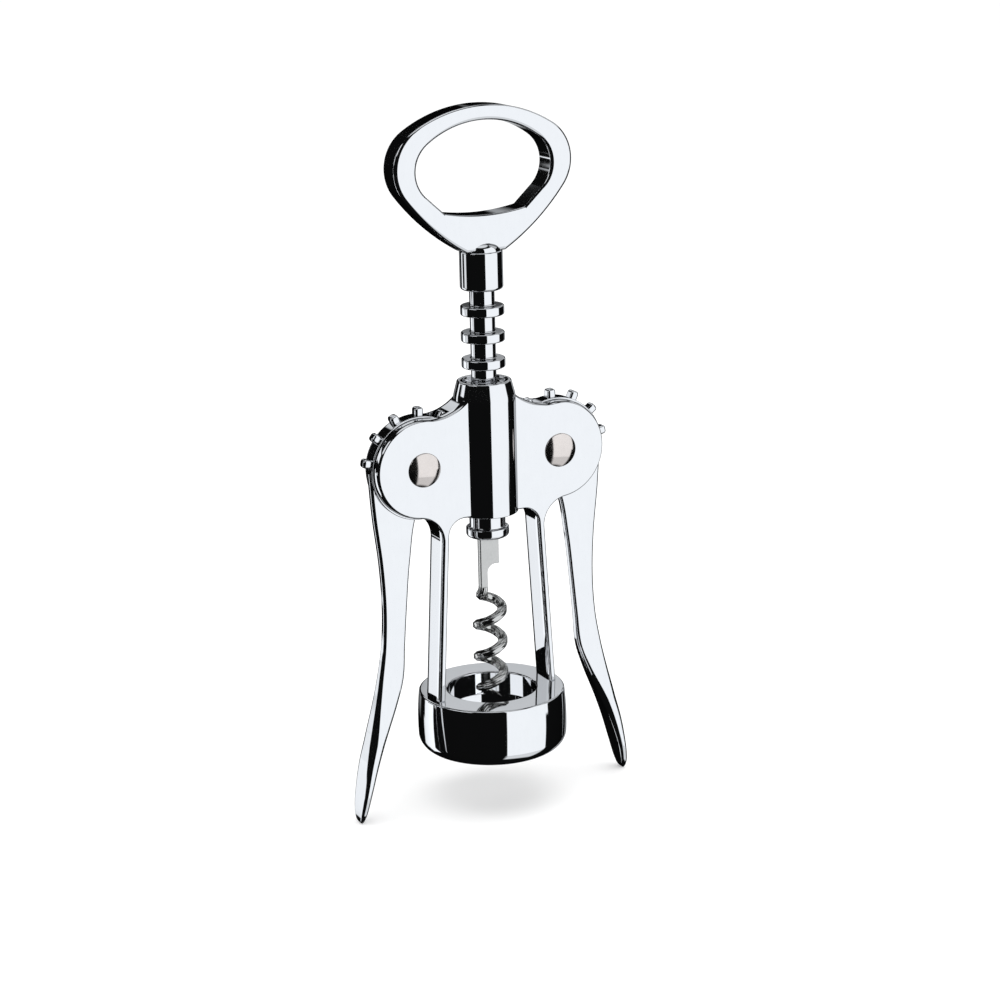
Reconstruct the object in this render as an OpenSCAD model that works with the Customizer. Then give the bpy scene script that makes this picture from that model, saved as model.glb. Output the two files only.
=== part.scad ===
// Wing corkscrew with a ring handle, a ribbed rack and two geared levers.
// Millimetres, +Z up. The origin is on the axis, at the collar's lower face.

/* [Frame] */
// Distance between the two lever pivots
pivot_spacing = 40; // [38:0.5:44]
// Height of the pivots above the collar's lower face
pivot_height = 81; // [76:0.5:90]
// Outer diameter of the guide tube
tube_d = 16.6; // [15.8:0.1:17.4]
// Height of the tube's rim above the pivots
tube_rise = 21; // [19.5:0.5:23]
// Depth of the tube's lower end below the pivots
tube_drop = 15; // [14:0.25:16]
// Height over which the tube narrows to its rim
tube_taper = 4.2; // [3.4:0.1:5]
// Outer diameter of the tube's rim
tube_rim_d = 14.6; // [14:0.1:15.2]
// Rounding of the tube's rim
tube_rim_r = 0.5; // [0.3:0.05:0.6]
// Front to back depth of the frame
body_depth = 8.9; // [8.4:0.1:9.6]
// Width of the slot that the gears turn in
slot_width = 5; // [4.8:0.1:5.4]
// How far the gears' rims stand out of the cheeks
rim_show = 0.5; // [0.3:0.1:1.2]
// Radius of the hollow curve between tube and cheek
shoulder_r = 14; // [12.5:0.25:15.5]
// Distance from the axis to the centre of that curve
shoulder_x = 16.8; // [16.4:0.1:17.2]
// Radius of the hollow curve between cheek and strap
strap_root_r = 7; // [5:0.5:9]
// Thickness of the straps
strap_t = 2.2; // [1.8:0.1:2.8]
// Half gap between the straps at the tube's lower end
strap_top_gap = 12.8; // [12:0.1:13.5]
// Half gap between the straps at the collar
strap_foot_gap = 15.6; // [14.6:0.1:15.8]
// Radius of the arch's upper corners between the straps
arch_r = 4.3; // [3:0.1:5]

/* [Collar] */
// Largest diameter of the collar
collar_d = 40.6; // [39.4:0.1:42]
// Diameter of the collar's upper edge
collar_top_d = 38.8; // [38.2:0.1:39.3]
// Height of the collar
collar_h = 16.2; // [14:0.1:18]
// Rounding of the collar's lower edge
collar_foot_r = 4; // [2:0.1:4.5]
// Rounding of the collar's upper edge
collar_edge_r = 0.6; // [0.3:0.1:0.8]
// Radius of the collar's bulging side
collar_side_r = 78; // [60:2:120]
// Height at which the side bulges most
collar_bulge_h = 7.3; // [6:0.1:9]
// Diameter of the hole that the cork comes up through
cork_hole_d = 24.2; // [23:0.1:26]
// Diameter of the socket over the bottle's lip
socket_d = 30.4; // [29:0.1:32]
// Depth of that socket
socket_depth = 9.5; // [7:0.1:11]

/* [Gears] */
// Angle from one gear peg to the next
peg_pitch_angle = 27; // [26:0.5:28]
// Number of pegs on each gear
peg_count = 8; // [6:1:9]
// Number of them below the peg in mesh
pegs_below = 1; // [1:1:2]
// Angle of the peg in mesh above the line between the pivots
peg_phase = 7; // [6:0.5:8]
// Width of a peg along the gear's rim
peg_w = 2.4; // [2:0.1:2.6]
// Width of a peg from front to back
peg_depth = 3; // [2.4:0.1:3.4]
// Rounding of a peg's tip
peg_tip_r = 0.8; // [0.4:0.1:1]
// Height of the pegs' tips beyond the pitch circle
peg_reach = 1.25; // [1:0.05:1.5]
// Depth of the pegs' roots in the gear
peg_sink = 1; // [0.5:0.1:2]

/* [Levers] */
// Height of the levers' tips below the pivots
lever_drop = 96; // [90:1:100]
// Thickness of the levers' upper arms
arm_t = 2.6; // [2:0.1:3.6]
// Rounding of the arms' edges
arm_corner_r = 0.5; // [0.2:0.1:0.9]
// Rounding of the paddles' edges
paddle_corner_r = 1.4; // [0.8:0.1:2]
// Front to back width of the thumb paddles
paddle_w = 8; // [6:0.1:10]

/* [Rack] */
// Diameter of the rack's rings
ring_d = 11.6; // [11:0.1:12.2]
// Reach of the rings beyond the pitch line
ring_reach = 0.65; // [0.4:0.05:0.8]
// Thickness of a ring
ring_t = 2.6; // [2.3:0.1:2.7]
// Number of rings
ring_count = 8; // [6:1:8]
// Number of ring pitches from the peg in mesh up to the top ring
rings_above = 5; // [4:1:5]
// Rounding of the rings' edges
ring_edge_r = 0.5; // [0.2:0.1:0.8]
// Bare length of the rack between its top ring and the barrel
rack_neck = 4.15; // [3:0.05:5]
// Diameter of the core through the rack
core_d = 3.8; // [3:0.1:4.4]

/* [Handle] */
// Length of the barrel up to its cone
barrel_l = 10.2; // [9.5:0.1:11]
// Height of the cone on top of the barrel
barrel_cone = 2; // [1.5:0.1:2.5]
// Rounding of the barrel's lower edge
barrel_edge_r = 0.8; // [0.4:0.1:1.2]
// Depth of the core's seat in the barrel
core_seat = 8; // [6:0.5:9]
// Height of the ring handle above the barrel's upper edge
grip_h = 37.7; // [36:0.1:40]
// Thickness of the ring handle
grip_t = 7.4; // [6.4:0.1:8.4]
// Rounding of the ring handle's edges
grip_edge_r = 1.25; // [0.8:0.05:1.6]
// Radius of the ring's outer curve on top
grip_crown_r = 37.5; // [36.5:0.5:38.5]
// Radius of the ring's outer curve at its sides
grip_side_r = 11.3; // [10.9:0.1:11.7]
// Radius of the ring's outer curve down to the barrel
grip_flank_r = 60; // [55:1:70]
// Depth from the ring's top to the middle of its sides
grip_side_drop = 15.4; // [15:0.1:15.8]
// Width of the band at the ring's top
band_t = 3.9; // [3.5:0.1:4.4]
// Radius of the finger hole's curve on top
hole_crown_r = 26.5; // [26:0.25:27.5]
// Radius of the finger hole's curve at its sides
hole_side_r = 8.65; // [8.3:0.05:9]
// Depth from the hole's top to the middle of its sides
hole_side_drop = 12.1; // [11.8:0.1:12.4]
// Depth from the hole's top to its straight lower lip
lip_drop = 24.2; // [23.6:0.1:24.8]
// Half width of the lower lip
lip_half = 11.4; // [11:0.1:11.8]
// Radius of the lower lip's shallow curve
lip_r = 57; // [50:1:80]

/* [Worm] */
// Diameter of the spindle's slotted end
head_d = 9.7; // [9:0.1:10.4]
// Length of that end above its flange
head_l = 4; // [3:0.1:5]
// Diameter of the flange
flange_d = 11.6; // [11:0.1:12]
// Thickness of the flange
flange_t = 2.8; // [2:0.1:3.4]
// Width of the worm's blade
blade_w = 5.7; // [5:0.1:6.4]
// Thickness of the worm's blade
blade_t = 2; // [1.6:0.1:2.4]
// Length of the full blade below the flange
blade_l = 8; // [6:0.5:10]
// Length of the narrow stem below it
stem_l = 7.5; // [6:0.5:8.5]
// Width of that stem
stem_w = 2.2; // [1.8:0.1:2.6]
// Radius of the hollow between blade and stem
notch_r = 2.2; // [1.5:0.1:2.8]
// Radius of the helix's centre line
helix_r = 3.4; // [3:0.1:3.8]
// Thickness of the worm's wire
wire_d = 2.7; // [2.2:0.1:3]
// Rise of the helix in one turn
helix_pitch = 9; // [8:0.25:10]
// Height of the worm's point above the collar's lower face
point_height = 12.5; // [11:0.5:20]

/* [Rivets] */
// Diameter of the rivets' shanks
rivet_d = 5.5; // [4:0.1:6]
// Diameter of the rivets' heads
rivet_head_d = 9.2; // [8:0.1:10]
// Height of the rivets' domes
rivet_dome = 1.4; // [1:0.1:1.8]

/* [Fits] */
// Radial clearance of a turning pin in its hole
turn_fit = 0.05; // [0.02:0.01:0.09]
// Radial clearance of the rack's rings in the tube
slide_fit = 0.35; // [0.3:0.05:0.45]
// Radial clearance of the barrel in the tube
barrel_fit = 0.45; // [0.35:0.05:0.6]
// Clearance between a gear and each cheek
side_fit = 0.35; // [0.3:0.05:0.4]
// Clearance between the rings and a gear's rim
rim_fit = 0.3; // [0.3:0.05:0.5]
// Clearance between the pegs' tips and the rack's shaft
shaft_fit = 0.55; // [0.4:0.05:0.7]
// Play between a peg and the ring above it
mesh_play = 0.34; // [0.3:0.01:0.6]
// Clearance round the tips of the pegs in the frame
tip_fit = 0.5; // [0.35:0.05:0.7]
// End play of the turning spindle
end_play = 0.1; // [0.05:0.05:0.2]

/* [Hidden] */
$fn = 72;
pivot_x = pivot_spacing / 2;
pitch_r = pivot_x - ring_d / 2 + ring_reach;
ring_pitch = pitch_r * PI * peg_pitch_angle / 180;
gear_tip_r = pitch_r + peg_reach;
gear_root_r = pivot_x - ring_d / 2 - rim_fit;
gear_t = slot_width - 2 * side_fit;
cheek_r = gear_root_r - rim_show;
rack_shaft_d = 2 * (pivot_x - gear_tip_r - shaft_fit);
top_ring_rise = rings_above * ring_pitch + pitch_r * sin(peg_phase) + peg_w / 2 + mesh_play;
bore_d = ring_d + 2 * slide_fit;
barrel_d = bore_d - 2 * barrel_fit;
pocket_r = gear_tip_r + tip_fit;
rivet_bore_d = rivet_d + 2 * turn_fit;
core_bore_d = core_d + 2 * turn_fit;
tube_top = pivot_height + tube_rise;
tube_foot = pivot_height - tube_drop;
strap_l = tube_foot - collar_h;
strap_slope = (strap_foot_gap - strap_top_gap) / strap_l;
strap_lean = atan(strap_slope);
head_top = tube_foot;
flange_top = head_top - head_l;
flange_foot = flange_top - flange_t;
barrel_foot = pivot_height + top_ring_rise + ring_t + rack_neck;
barrel_top = barrel_foot + barrel_l;
rack_foot = head_top + end_play;
rack_top = barrel_foot - end_play;
grip_top = barrel_top + grip_h;
blade_foot = flange_foot - blade_l;
helix_top = blade_foot - stem_l;
corner_steps = 3;

// Lever outline: depth below the pivot, inner edge, outer edge, share of the paddle's width.
lever_rows = [
    [0, -6, 14.2, 0],
    [12, 0.8, 13.4, 0],
    [25, 3.3, 12, 0],
    [37, 4.6, 11.5, 0],
    [48, 5.6, 12.1, 0.04],
    [57, 6.4, 13.6, 0.16],
    [64, 8.7, 15.1, 0.42],
    [72, 12.1, 17, 0.82],
    [80, 15.3, 18.8, 1],
    [88, 17.8, 20.1, 0.94],
    [93, 19, 20.8, 0.62],
    [95.3, 19.6, 20.8, 0.22],
    [96, 20, 20.5, 0]
];
lever_end = lever_rows[len(lever_rows) - 1][0];
lever_scale = lever_drop / lever_end;

// Points on an arc about c, from angle a0 to a1, in n steps.
function arc(c, r, a0, a1, n) =
    [for (i = [0 : n]) let (a = a0 + (a1 - a0) * i / n) c + r * [cos(a), sin(a)]];

// Value in column c of a table at x, by a cubic through its rows.
function row_at(rows, x, i = 0) = (i >= len(rows) - 2 || x <= rows[i + 1][0]) ? i : row_at(rows, x, i + 1);
function slope(rows, i, c) =
    let (a = max(i - 1, 0), b = min(i + 1, len(rows) - 1))
    (rows[b][c] - rows[a][c]) / (rows[b][0] - rows[a][0]);
function smooth(rows, x, c) =
    let (i = row_at(rows, x), w = rows[i + 1][0] - rows[i][0], t = (x - rows[i][0]) / w)
    (2 * t^3 - 3 * t^2 + 1) * rows[i][c] + (t^3 - 2 * t^2 + t) * w * slope(rows, i, c)
    + (3 * t^2 - 2 * t^3) * rows[i + 1][c] + (t^3 - t^2) * w * slope(rows, i + 1, c);

// Corner points of a rounded rectangle between two corners, counter-clockwise.
function rounded_box(x0, x1, y0, y1, r, n) = concat(
    arc([x1 - r, y1 - r], r, 0, 90, n), arc([x0 + r, y1 - r], r, 90, 180, n),
    arc([x0 + r, y0 + r], r, 180, 270, n), arc([x1 - r, y0 + r], r, 270, 360, n));

// Solid between equal rings of points, closed by flat ends.
module loft(rings) {
    n = len(rings[0]);
    last = (len(rings) - 1) * n;
    sides = [for (k = [0 : len(rings) - 2], i = [0 : n - 1])
        let (a = k * n + i, b = k * n + (i + 1) % n) each [[a, b + n, b], [a, a + n, b + n]]];
    caps = [for (i = [1 : n - 2]) each [[0, i, i + 1], [last, last + i + 1, last + i]]];
    polyhedron(points = [for (ring = rings) each ring], faces = concat(caps, sides));
}

// Solid round a closed loop of sections.
module loop(sections) {
    n = len(sections[0]);
    m = len(sections);
    polyhedron(points = [for (s = sections) each s],
        faces = [for (k = [0 : m - 1], i = [0 : n - 1])
            let (a = k * n + i, b = k * n + (i + 1) % n,
                 c = (k + 1) % m * n + i, d = (k + 1) % m * n + (i + 1) % n)
            each [[a, d, b], [a, c, d]]]);
}

// Drawing in X and Z, extruded to a thickness about the middle plane.
module slab(t) {
    rotate([90, 0, 0]) linear_extrude(t, center = true) children();
}

module along_y(d, l) {
    rotate([90, 0, 0]) cylinder(d = d, h = l, center = true);
}

module both_sides() {
    children();
    mirror([1, 0, 0]) children();
}

// Frame ---------------------------------------------------------------

function strap_gap(depth) = strap_top_gap + strap_slope * (depth - tube_drop);

// The curve from tube to cheek touches the cheek's round end.
shoulder_z = sqrt((cheek_r + shoulder_r)^2 - (pivot_x - shoulder_x)^2);

// Centre of the curve from cheek to strap: it touches both.
root_offset = strap_gap(0) + strap_t + strap_root_r / cos(strap_lean) - pivot_x;
root_b = 2 * strap_slope * root_offset;
root_c = root_offset^2 - (cheek_r + strap_root_r)^2;
root_a = 1 + strap_slope^2;
root_depth = (-root_b + sqrt(root_b^2 - 4 * root_a * root_c)) / (2 * root_a);
root_x = pivot_x + root_offset + strap_slope * root_depth;

arch_depth = tube_drop + arch_r;
arch_x = strap_gap(arch_depth) - arch_r / cos(strap_lean);
strap_end = pivot_height - collar_h;
// The hollow curves are cut this much deeper, so that they cross what they would only touch.
blend_cut = 0.02;

module half_web() {
    difference() {
        polygon([[0, -tube_drop], [0, shoulder_z], [shoulder_x, shoulder_z], [pivot_x, 0],
                 [root_x, -root_depth], [strap_gap(root_depth) + strap_t, -root_depth],
                 [strap_gap(strap_end) + strap_t, -strap_end], [strap_gap(strap_end), -strap_end],
                 [arch_x + arch_r * cos(strap_lean), arch_r * sin(strap_lean) - arch_depth],
                 [arch_x, -arch_depth], [arch_x, -tube_drop]]);
        translate([shoulder_x, shoulder_z]) circle(shoulder_r + blend_cut);
        translate([root_x, -root_depth]) circle(strap_root_r + blend_cut);
        translate([arch_x, -arch_depth]) circle(arch_r + blend_cut);
        translate([0, tube_rise - tube_rim_r]) square([pivot_x, shoulder_z]);
    }
    translate([pivot_x, 0]) circle(cheek_r);
}

// Point where the tapered side of the tube touches the rim's rounding, in radius and height.
taper_run = tube_taper - tube_rim_r;
taper_in = (tube_d - tube_rim_d) / 2 + tube_rim_r;
taper_angle = atan2(taper_in, taper_run) - asin(tube_rim_r / norm([taper_in, taper_run]));

module tube() {
    translate([0, 0, pivot_height])
        rotate_extrude()
            polygon(concat(
                [[0, -tube_drop], [tube_d / 2, -tube_drop], [tube_d / 2, tube_rise - tube_taper]],
                arc([tube_rim_d / 2 - tube_rim_r, tube_rise - tube_rim_r], tube_rim_r, taper_angle, 90, 6),
                [[0, tube_rise]]));
}

module frame_body() {
    color("silver")
    difference() {
        union() {
            translate([0, 0, pivot_height]) both_sides() slab(body_depth) half_web();
            tube();
        }
        translate([0, 0, tube_foot - 1]) cylinder(d = bore_d, h = tube_rise + tube_drop + 2);
        both_sides() translate([pivot_x, 0, pivot_height]) {
            along_y(2 * pocket_r, slot_width);
            along_y(rivet_bore_d, body_depth + 2);
        }
    }
}

// Barrel-shaped side, rounded lower edge, socket below and cork hole above.
module bottle_collar() {
    rc = collar_d / 2;
    rt = collar_top_d / 2;
    color("silver")
        rotate_extrude(convexity = 4)
            difference() {
                intersection() {
                    union() {
                        square([rt - collar_edge_r, collar_h]);
                        translate([0, collar_foot_r]) square([rc, collar_h - collar_foot_r - collar_edge_r]);
                        square([rc - collar_foot_r, collar_h / 2]);
                        translate([rc - collar_foot_r, collar_foot_r]) circle(collar_foot_r);
                        translate([rt - collar_edge_r, collar_h - collar_edge_r]) circle(collar_edge_r);
                    }
                    translate([rc - collar_side_r, collar_bulge_h]) circle(collar_side_r, $fn = 720);
                }
                square([cork_hole_d / 2, collar_h]);
                square([socket_d / 2, socket_depth]);
            }
}

// Rivet ----------------------------------------------------------------

module rivet_head() {
    dome_r = ((rivet_head_d / 2)^2 + rivet_dome^2) / (2 * rivet_dome);
    intersection() {
        translate([0, 0, rivet_dome - dome_r]) sphere(dome_r);
        cylinder(d = rivet_head_d, h = rivet_dome);
    }
}

module pivot_rivet(side) {
    color("rosybrown")
    translate([side * pivot_x, 0, pivot_height]) {
        along_y(rivet_d, body_depth);
        for (a = [90, -90])
            rotate([a, 0, 0]) translate([0, 0, body_depth / 2]) rivet_head();
    }
}

module pivot_rivet_left() { pivot_rivet(-1); }
module pivot_rivet_right() { pivot_rivet(1); }

// Lever ----------------------------------------------------------------

module peg_outline(w, l, r) {
    translate([-w / 2, 0]) square([w, l - r]);
    translate([r - w / 2, 0]) square([w - 2 * r, l]);
    for (x = [r - w / 2, w / 2 - r]) translate([x, l - r]) circle(r);
}

// Peg that stands out of the gear's rim along +Z.
module peg() {
    root = gear_root_r - peg_sink;
    translate([0, 0, root])
        intersection() {
            slab(peg_depth) peg_outline(peg_w, gear_tip_r - root, peg_tip_r);
            rotate([0, 0, 90]) slab(peg_w) peg_outline(peg_depth, gear_tip_r - root, peg_tip_r);
        }
}

// Section of the lever: its corners take up most of a thin section and no more.
function lever_section(depth) =
    let (h = arm_t / 2 + smooth(lever_rows, depth, 3) * (paddle_w - arm_t) / 2,
         x0 = smooth(lever_rows, depth, 1), x1 = smooth(lever_rows, depth, 2),
         r = min(h * 0.9, (x1 - x0) * 0.45,
                 arm_corner_r + smooth(lever_rows, depth, 3) * (paddle_corner_r - arm_corner_r)))
    [for (p = rounded_box(x0, x1, -h, h, max(r, 0.05), corner_steps))
        [p[0], p[1], -depth * lever_scale]];

module lever_arm() {
    step = 4;
    loft([for (d = concat([lever_end, lever_end - 0.4, lever_end - 1.4],
                          [for (d = [lever_end - step : -step : step]) d], [0]))
        lever_section(d)]);
}

// Right lever, about its own pivot. The gear's pegs reach in towards the rack.
module lever_solid() {
    difference() {
        union() {
            along_y(2 * gear_root_r, gear_t);
            lever_arm();
            for (i = [-pegs_below : peg_count - pegs_below - 1])
                rotate([0, peg_phase + peg_pitch_angle * i - 90, 0]) peg();
        }
        along_y(rivet_bore_d, gear_t + 2);
    }
}

module lever_right() {
    color("gainsboro") translate([pivot_x, 0, pivot_height]) lever_solid();
}

module lever_left() {
    color("gainsboro") mirror([1, 0, 0]) translate([pivot_x, 0, pivot_height]) lever_solid();
}

// Rack and spindle -----------------------------------------------------

module rack_ring() {
    rotate_extrude() {
        square([ring_d / 2 - ring_edge_r, ring_t]);
        translate([0, ring_edge_r]) square([ring_d / 2, ring_t - 2 * ring_edge_r]);
        for (z = [ring_edge_r, ring_t - ring_edge_r])
            translate([ring_d / 2 - ring_edge_r, z]) circle(ring_edge_r);
    }
}

module rack_spindle() {
    color("silver")
    difference() {
        union() {
            translate([0, 0, rack_foot]) cylinder(d = rack_shaft_d, h = rack_top - rack_foot);
            for (i = [0 : ring_count - 1])
                translate([0, 0, pivot_height + top_ring_rise - i * ring_pitch]) rack_ring();
        }
        translate([0, 0, rack_foot - 1]) cylinder(d = core_bore_d, h = rack_top - rack_foot + 2);
    }
}

core_top = barrel_foot + core_seat;
core_foot = flange_top;

module spindle_core() {
    color("dimgray") translate([0, 0, core_foot]) cylinder(d = core_d, h = core_top - core_foot);
}

// Ring handle ----------------------------------------------------------

grip_crown_z = grip_top - grip_crown_r;
grip_side_z = grip_top - grip_side_drop;
grip_side_x = sqrt((grip_crown_r - grip_side_r)^2 - (grip_side_z - grip_crown_z)^2);
grip_side = [grip_side_x, grip_side_z];
neck_inset = 0.1;
neck = [barrel_d / 2 - neck_inset, barrel_top];
// Centre of the flank's curve: it touches the side's curve and meets the barrel at the neck.
flank_gap = norm(neck - grip_side);
flank_turn = acos((flank_gap^2 + (grip_flank_r - grip_side_r)^2 - grip_flank_r^2)
                  / (2 * flank_gap * (grip_flank_r - grip_side_r)));
flank_dir = atan2(neck[1] - grip_side[1], neck[0] - grip_side[0]) - flank_turn;
grip_flank = grip_side + (grip_flank_r - grip_side_r) * [cos(flank_dir), sin(flank_dir)];
crown_end = atan2(grip_side_z - grip_crown_z, grip_side_x);
flank_start = atan2(grip_side[1] - grip_flank[1], grip_side[0] - grip_flank[0]);
flank_end = atan2(neck[1] - grip_flank[1], neck[0] - grip_flank[0]);

hole_top = grip_top - band_t;
hole_crown_z = hole_top - hole_crown_r;
hole_side_z = hole_top - hole_side_drop;
hole_side_x = sqrt((hole_crown_r - hole_side_r)^2 - (hole_side_z - hole_crown_z)^2);
hole_side = [hole_side_x, hole_side_z];
lip_sag = lip_r - sqrt(lip_r^2 - lip_half^2);
lip_z = hole_top - lip_drop;
lip_end = [lip_half, lip_z + lip_sag];
lip_gap = norm(hole_side - lip_end);
lip_side_angle = atan2(hole_side[1] - lip_end[1], hole_side[0] - lip_end[0]) - asin(hole_side_r / lip_gap);
hole_crown_end = atan2(hole_side_z - hole_crown_z, hole_side_x);

// Right half of each outline, from the top down, with as many points on both.
crown_steps = 9;
side_steps = 9;
flank_steps = 8;
lip_steps = 5;
outer_half = concat(
    arc([0, grip_crown_z], grip_crown_r, 90, crown_end, crown_steps),
    arc(grip_side, grip_side_r, crown_end, flank_start, side_steps),
    arc(grip_flank, grip_flank_r, flank_start, flank_end, flank_steps),
    [for (i = [1 : lip_steps]) [neck[0] * (1 - i / lip_steps), neck[1]]]);
side_foot = hole_side + hole_side_r * [cos(lip_side_angle - 90), sin(lip_side_angle - 90)];
inner_half = concat(
    arc([0, hole_crown_z], hole_crown_r, 90, hole_crown_end, crown_steps),
    arc(hole_side, hole_side_r, hole_crown_end, lip_side_angle - 90, side_steps),
    [for (i = [0 : flank_steps]) side_foot + (lip_end - side_foot) * i / flank_steps],
    [for (i = [1 : lip_steps])
        let (a = asin(lip_half / lip_r) * (1 - i / lip_steps))
        [lip_r * sin(a), lip_z + lip_r * (1 - cos(a))]]);

// A half outline's points without doubles, and the whole outline made from it by mirroring.
keep = [for (i = [0 : len(outer_half) - 1])
    if (i != crown_steps + 1 && i != crown_steps + side_steps + 2) i];
function whole(half) = concat(
    [for (i = keep) half[i]],
    [for (k = [len(keep) - 2 : -1 : 1]) [-half[keep[k]][0], half[keep[k]][1]]]);

// Normal of an outline at point i, to the right of its direction.
function out_normal(p, i) =
    let (n = len(p), d = p[(i + 1) % n] - p[(i + n - 1) % n]) [-d[1], d[0]] / norm(d);

// Section of the ring between outline points o and i, with rounded edges.
function grip_section(o, no, i, ni) =
    let (h = grip_t / 2, r = grip_edge_r, n = corner_steps)
    concat(
        [for (k = [0 : n]) let (a = 90 * k / n, p = o - no * r * (1 - cos(a))) [p[0], -h + r - r * sin(a), p[1]]],
        [for (k = [n : -1 : 0]) let (a = 90 * k / n, p = i + ni * r * (1 - cos(a))) [p[0], -h + r - r * sin(a), p[1]]],
        [for (k = [0 : n]) let (a = 90 * k / n, p = i + ni * r * (1 - cos(a))) [p[0], h - r + r * sin(a), p[1]]],
        [for (k = [n : -1 : 0]) let (a = 90 * k / n, p = o - no * r * (1 - cos(a))) [p[0], h - r + r * sin(a), p[1]]]);

module grip() {
    outer = whole(outer_half);
    inner = whole(inner_half);
    loop([for (k = [0 : len(outer) - 1])
        grip_section(outer[k], out_normal(outer, k), inner[k], out_normal(inner, k))]);
}

module ring_handle() {
    color("silver")
    difference() {
        union() {
            grip();
            translate([0, 0, barrel_foot])
                rotate_extrude() {
                    translate([0, barrel_edge_r]) square([barrel_d / 2, barrel_l - barrel_edge_r]);
                    square([barrel_d / 2 - barrel_edge_r, barrel_l]);
                    translate([barrel_d / 2 - barrel_edge_r, barrel_edge_r]) circle(barrel_edge_r);
                    polygon([[0, barrel_l], [barrel_d / 2, barrel_l],
                             [barrel_d / 2 - barrel_cone, barrel_l + barrel_cone], [0, barrel_l + barrel_cone]]);
                }
        }
        translate([0, 0, barrel_foot - 1]) cylinder(d = core_d, h = core_seat + 1);
    }
}

// Worm -----------------------------------------------------------------

module worm_head() {
    color("silver")
    difference() {
        union() {
            translate([0, 0, flange_top]) cylinder(d = head_d, h = head_l);
            translate([0, 0, flange_foot]) cylinder(d = flange_d, h = flange_t);
        }
        translate([0, 0, flange_top]) cylinder(d = core_d, h = head_l + 1);
        translate([-blade_w / 2, -blade_t / 2, flange_foot - 1])
            cube([blade_w, blade_t, flange_t + 1]);
    }
}

worm_sides = 10;
worm_steps_per_turn = 20;
stem_x = -(blade_w - stem_w) / 2;
helix_turns = (helix_top - point_height) / helix_pitch;
worm_steps = ceil(helix_turns * worm_steps_per_turn);
ease_turns = 0.35;
point_turns = 0.6;

// Share of the helix's full radius at a number of turns from its top.
function ease(t) = t >= ease_turns ? 1 : (1 - cos(180 * t / ease_turns)) / 2;
function worm_r(t) = -stem_x + (helix_r + stem_x) * ease(t);
function worm_centre(t) =
    [worm_r(t) * cos(180 - 360 * t), worm_r(t) * sin(180 - 360 * t), helix_top - helix_pitch * t];
function wire_r(t) = wire_d / 2 * min(1, max(0.08, (helix_turns - t) / point_turns));
function worm_ring(t) =
    let (c = worm_centre(t), d = worm_centre(t + 0.005) - worm_centre(t - 0.005),
         u = d / norm(d), across = cross(u, [0, 0, 1]), a = across / norm(across), b = cross(a, u))
    [for (i = [0 : worm_sides - 1]) c + wire_r(t) * (a * cos(360 * i / worm_sides) + b * sin(360 * i / worm_sides))];

module worm() {
    color("lightgray") {
        translate([0, 0, blade_foot]) slab(blade_t) {
            translate([-blade_w / 2, 0]) square([blade_w, blade_l + flange_t]);
            translate([-blade_w / 2, -stem_l]) square([stem_w, stem_l]);
            difference() {
                translate([-blade_w / 2, -notch_r]) square([stem_w + notch_r, notch_r]);
                translate([stem_w + notch_r - blade_w / 2, -notch_r]) circle(notch_r);
            }
        }
        loft([for (k = [worm_steps : -1 : 0]) worm_ring(helix_turns * k / worm_steps)]);
    }
}

frame_body();
bottle_collar();
pivot_rivet_left();
pivot_rivet_right();
lever_left();
lever_right();
rack_spindle();
spindle_core();
ring_handle();
worm_head();
worm();
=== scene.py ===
"""Wing corkscrew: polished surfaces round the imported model, with its stage."""

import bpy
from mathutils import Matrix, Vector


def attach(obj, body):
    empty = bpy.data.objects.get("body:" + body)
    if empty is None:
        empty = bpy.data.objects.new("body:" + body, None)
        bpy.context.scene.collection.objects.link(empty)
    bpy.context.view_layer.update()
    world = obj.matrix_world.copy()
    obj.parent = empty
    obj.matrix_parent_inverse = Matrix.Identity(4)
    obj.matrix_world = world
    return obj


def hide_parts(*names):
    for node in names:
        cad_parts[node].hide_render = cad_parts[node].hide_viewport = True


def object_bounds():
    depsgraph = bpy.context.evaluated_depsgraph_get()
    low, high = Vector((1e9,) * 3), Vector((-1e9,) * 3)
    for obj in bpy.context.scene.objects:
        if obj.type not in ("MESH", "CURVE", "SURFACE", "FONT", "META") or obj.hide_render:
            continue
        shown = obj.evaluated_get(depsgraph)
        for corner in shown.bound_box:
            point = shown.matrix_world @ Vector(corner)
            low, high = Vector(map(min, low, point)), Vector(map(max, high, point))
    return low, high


bl_info = {
    "name": "Wing corkscrew",
    "version": (1, 0, 0),
    "blender": (4, 5, 0),
    "location": "View3D > Sidebar > Corkscrew",
    "description": "Builds a chrome wing corkscrew and a pale stage round its packed model",
    "category": "Add Mesh",
}

import bpy
import numpy as np
from mathutils import Matrix

MM = 0.001
WELD = 1e-7  # points closer than this, in metres, are one

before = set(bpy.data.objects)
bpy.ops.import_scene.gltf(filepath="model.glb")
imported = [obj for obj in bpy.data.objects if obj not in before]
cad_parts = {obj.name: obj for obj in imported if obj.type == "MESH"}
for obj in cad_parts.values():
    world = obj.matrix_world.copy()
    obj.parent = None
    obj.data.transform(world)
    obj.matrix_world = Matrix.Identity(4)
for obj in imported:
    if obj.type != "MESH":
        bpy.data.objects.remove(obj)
CAD_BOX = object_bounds()


# Properties -----------------------------------------------------------------


def length(name, about, millimetres):
    """A length property with a default in millimetres, kept in metres."""
    return bpy.props.FloatProperty(
        name=name, description=about, default=millimetres * MM, min=0.0,
        precision=5, subtype="DISTANCE", unit="LENGTH",
    )


def count(name, about, default):
    """A whole number of one or more."""
    return bpy.props.IntProperty(name=name, description=about, default=default, min=1)


def share(name, about, default):
    """A factor from nothing to one."""
    return bpy.props.FloatProperty(
        name=name, description=about, default=default, min=0.0, max=1.0, subtype="FACTOR"
    )


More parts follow.
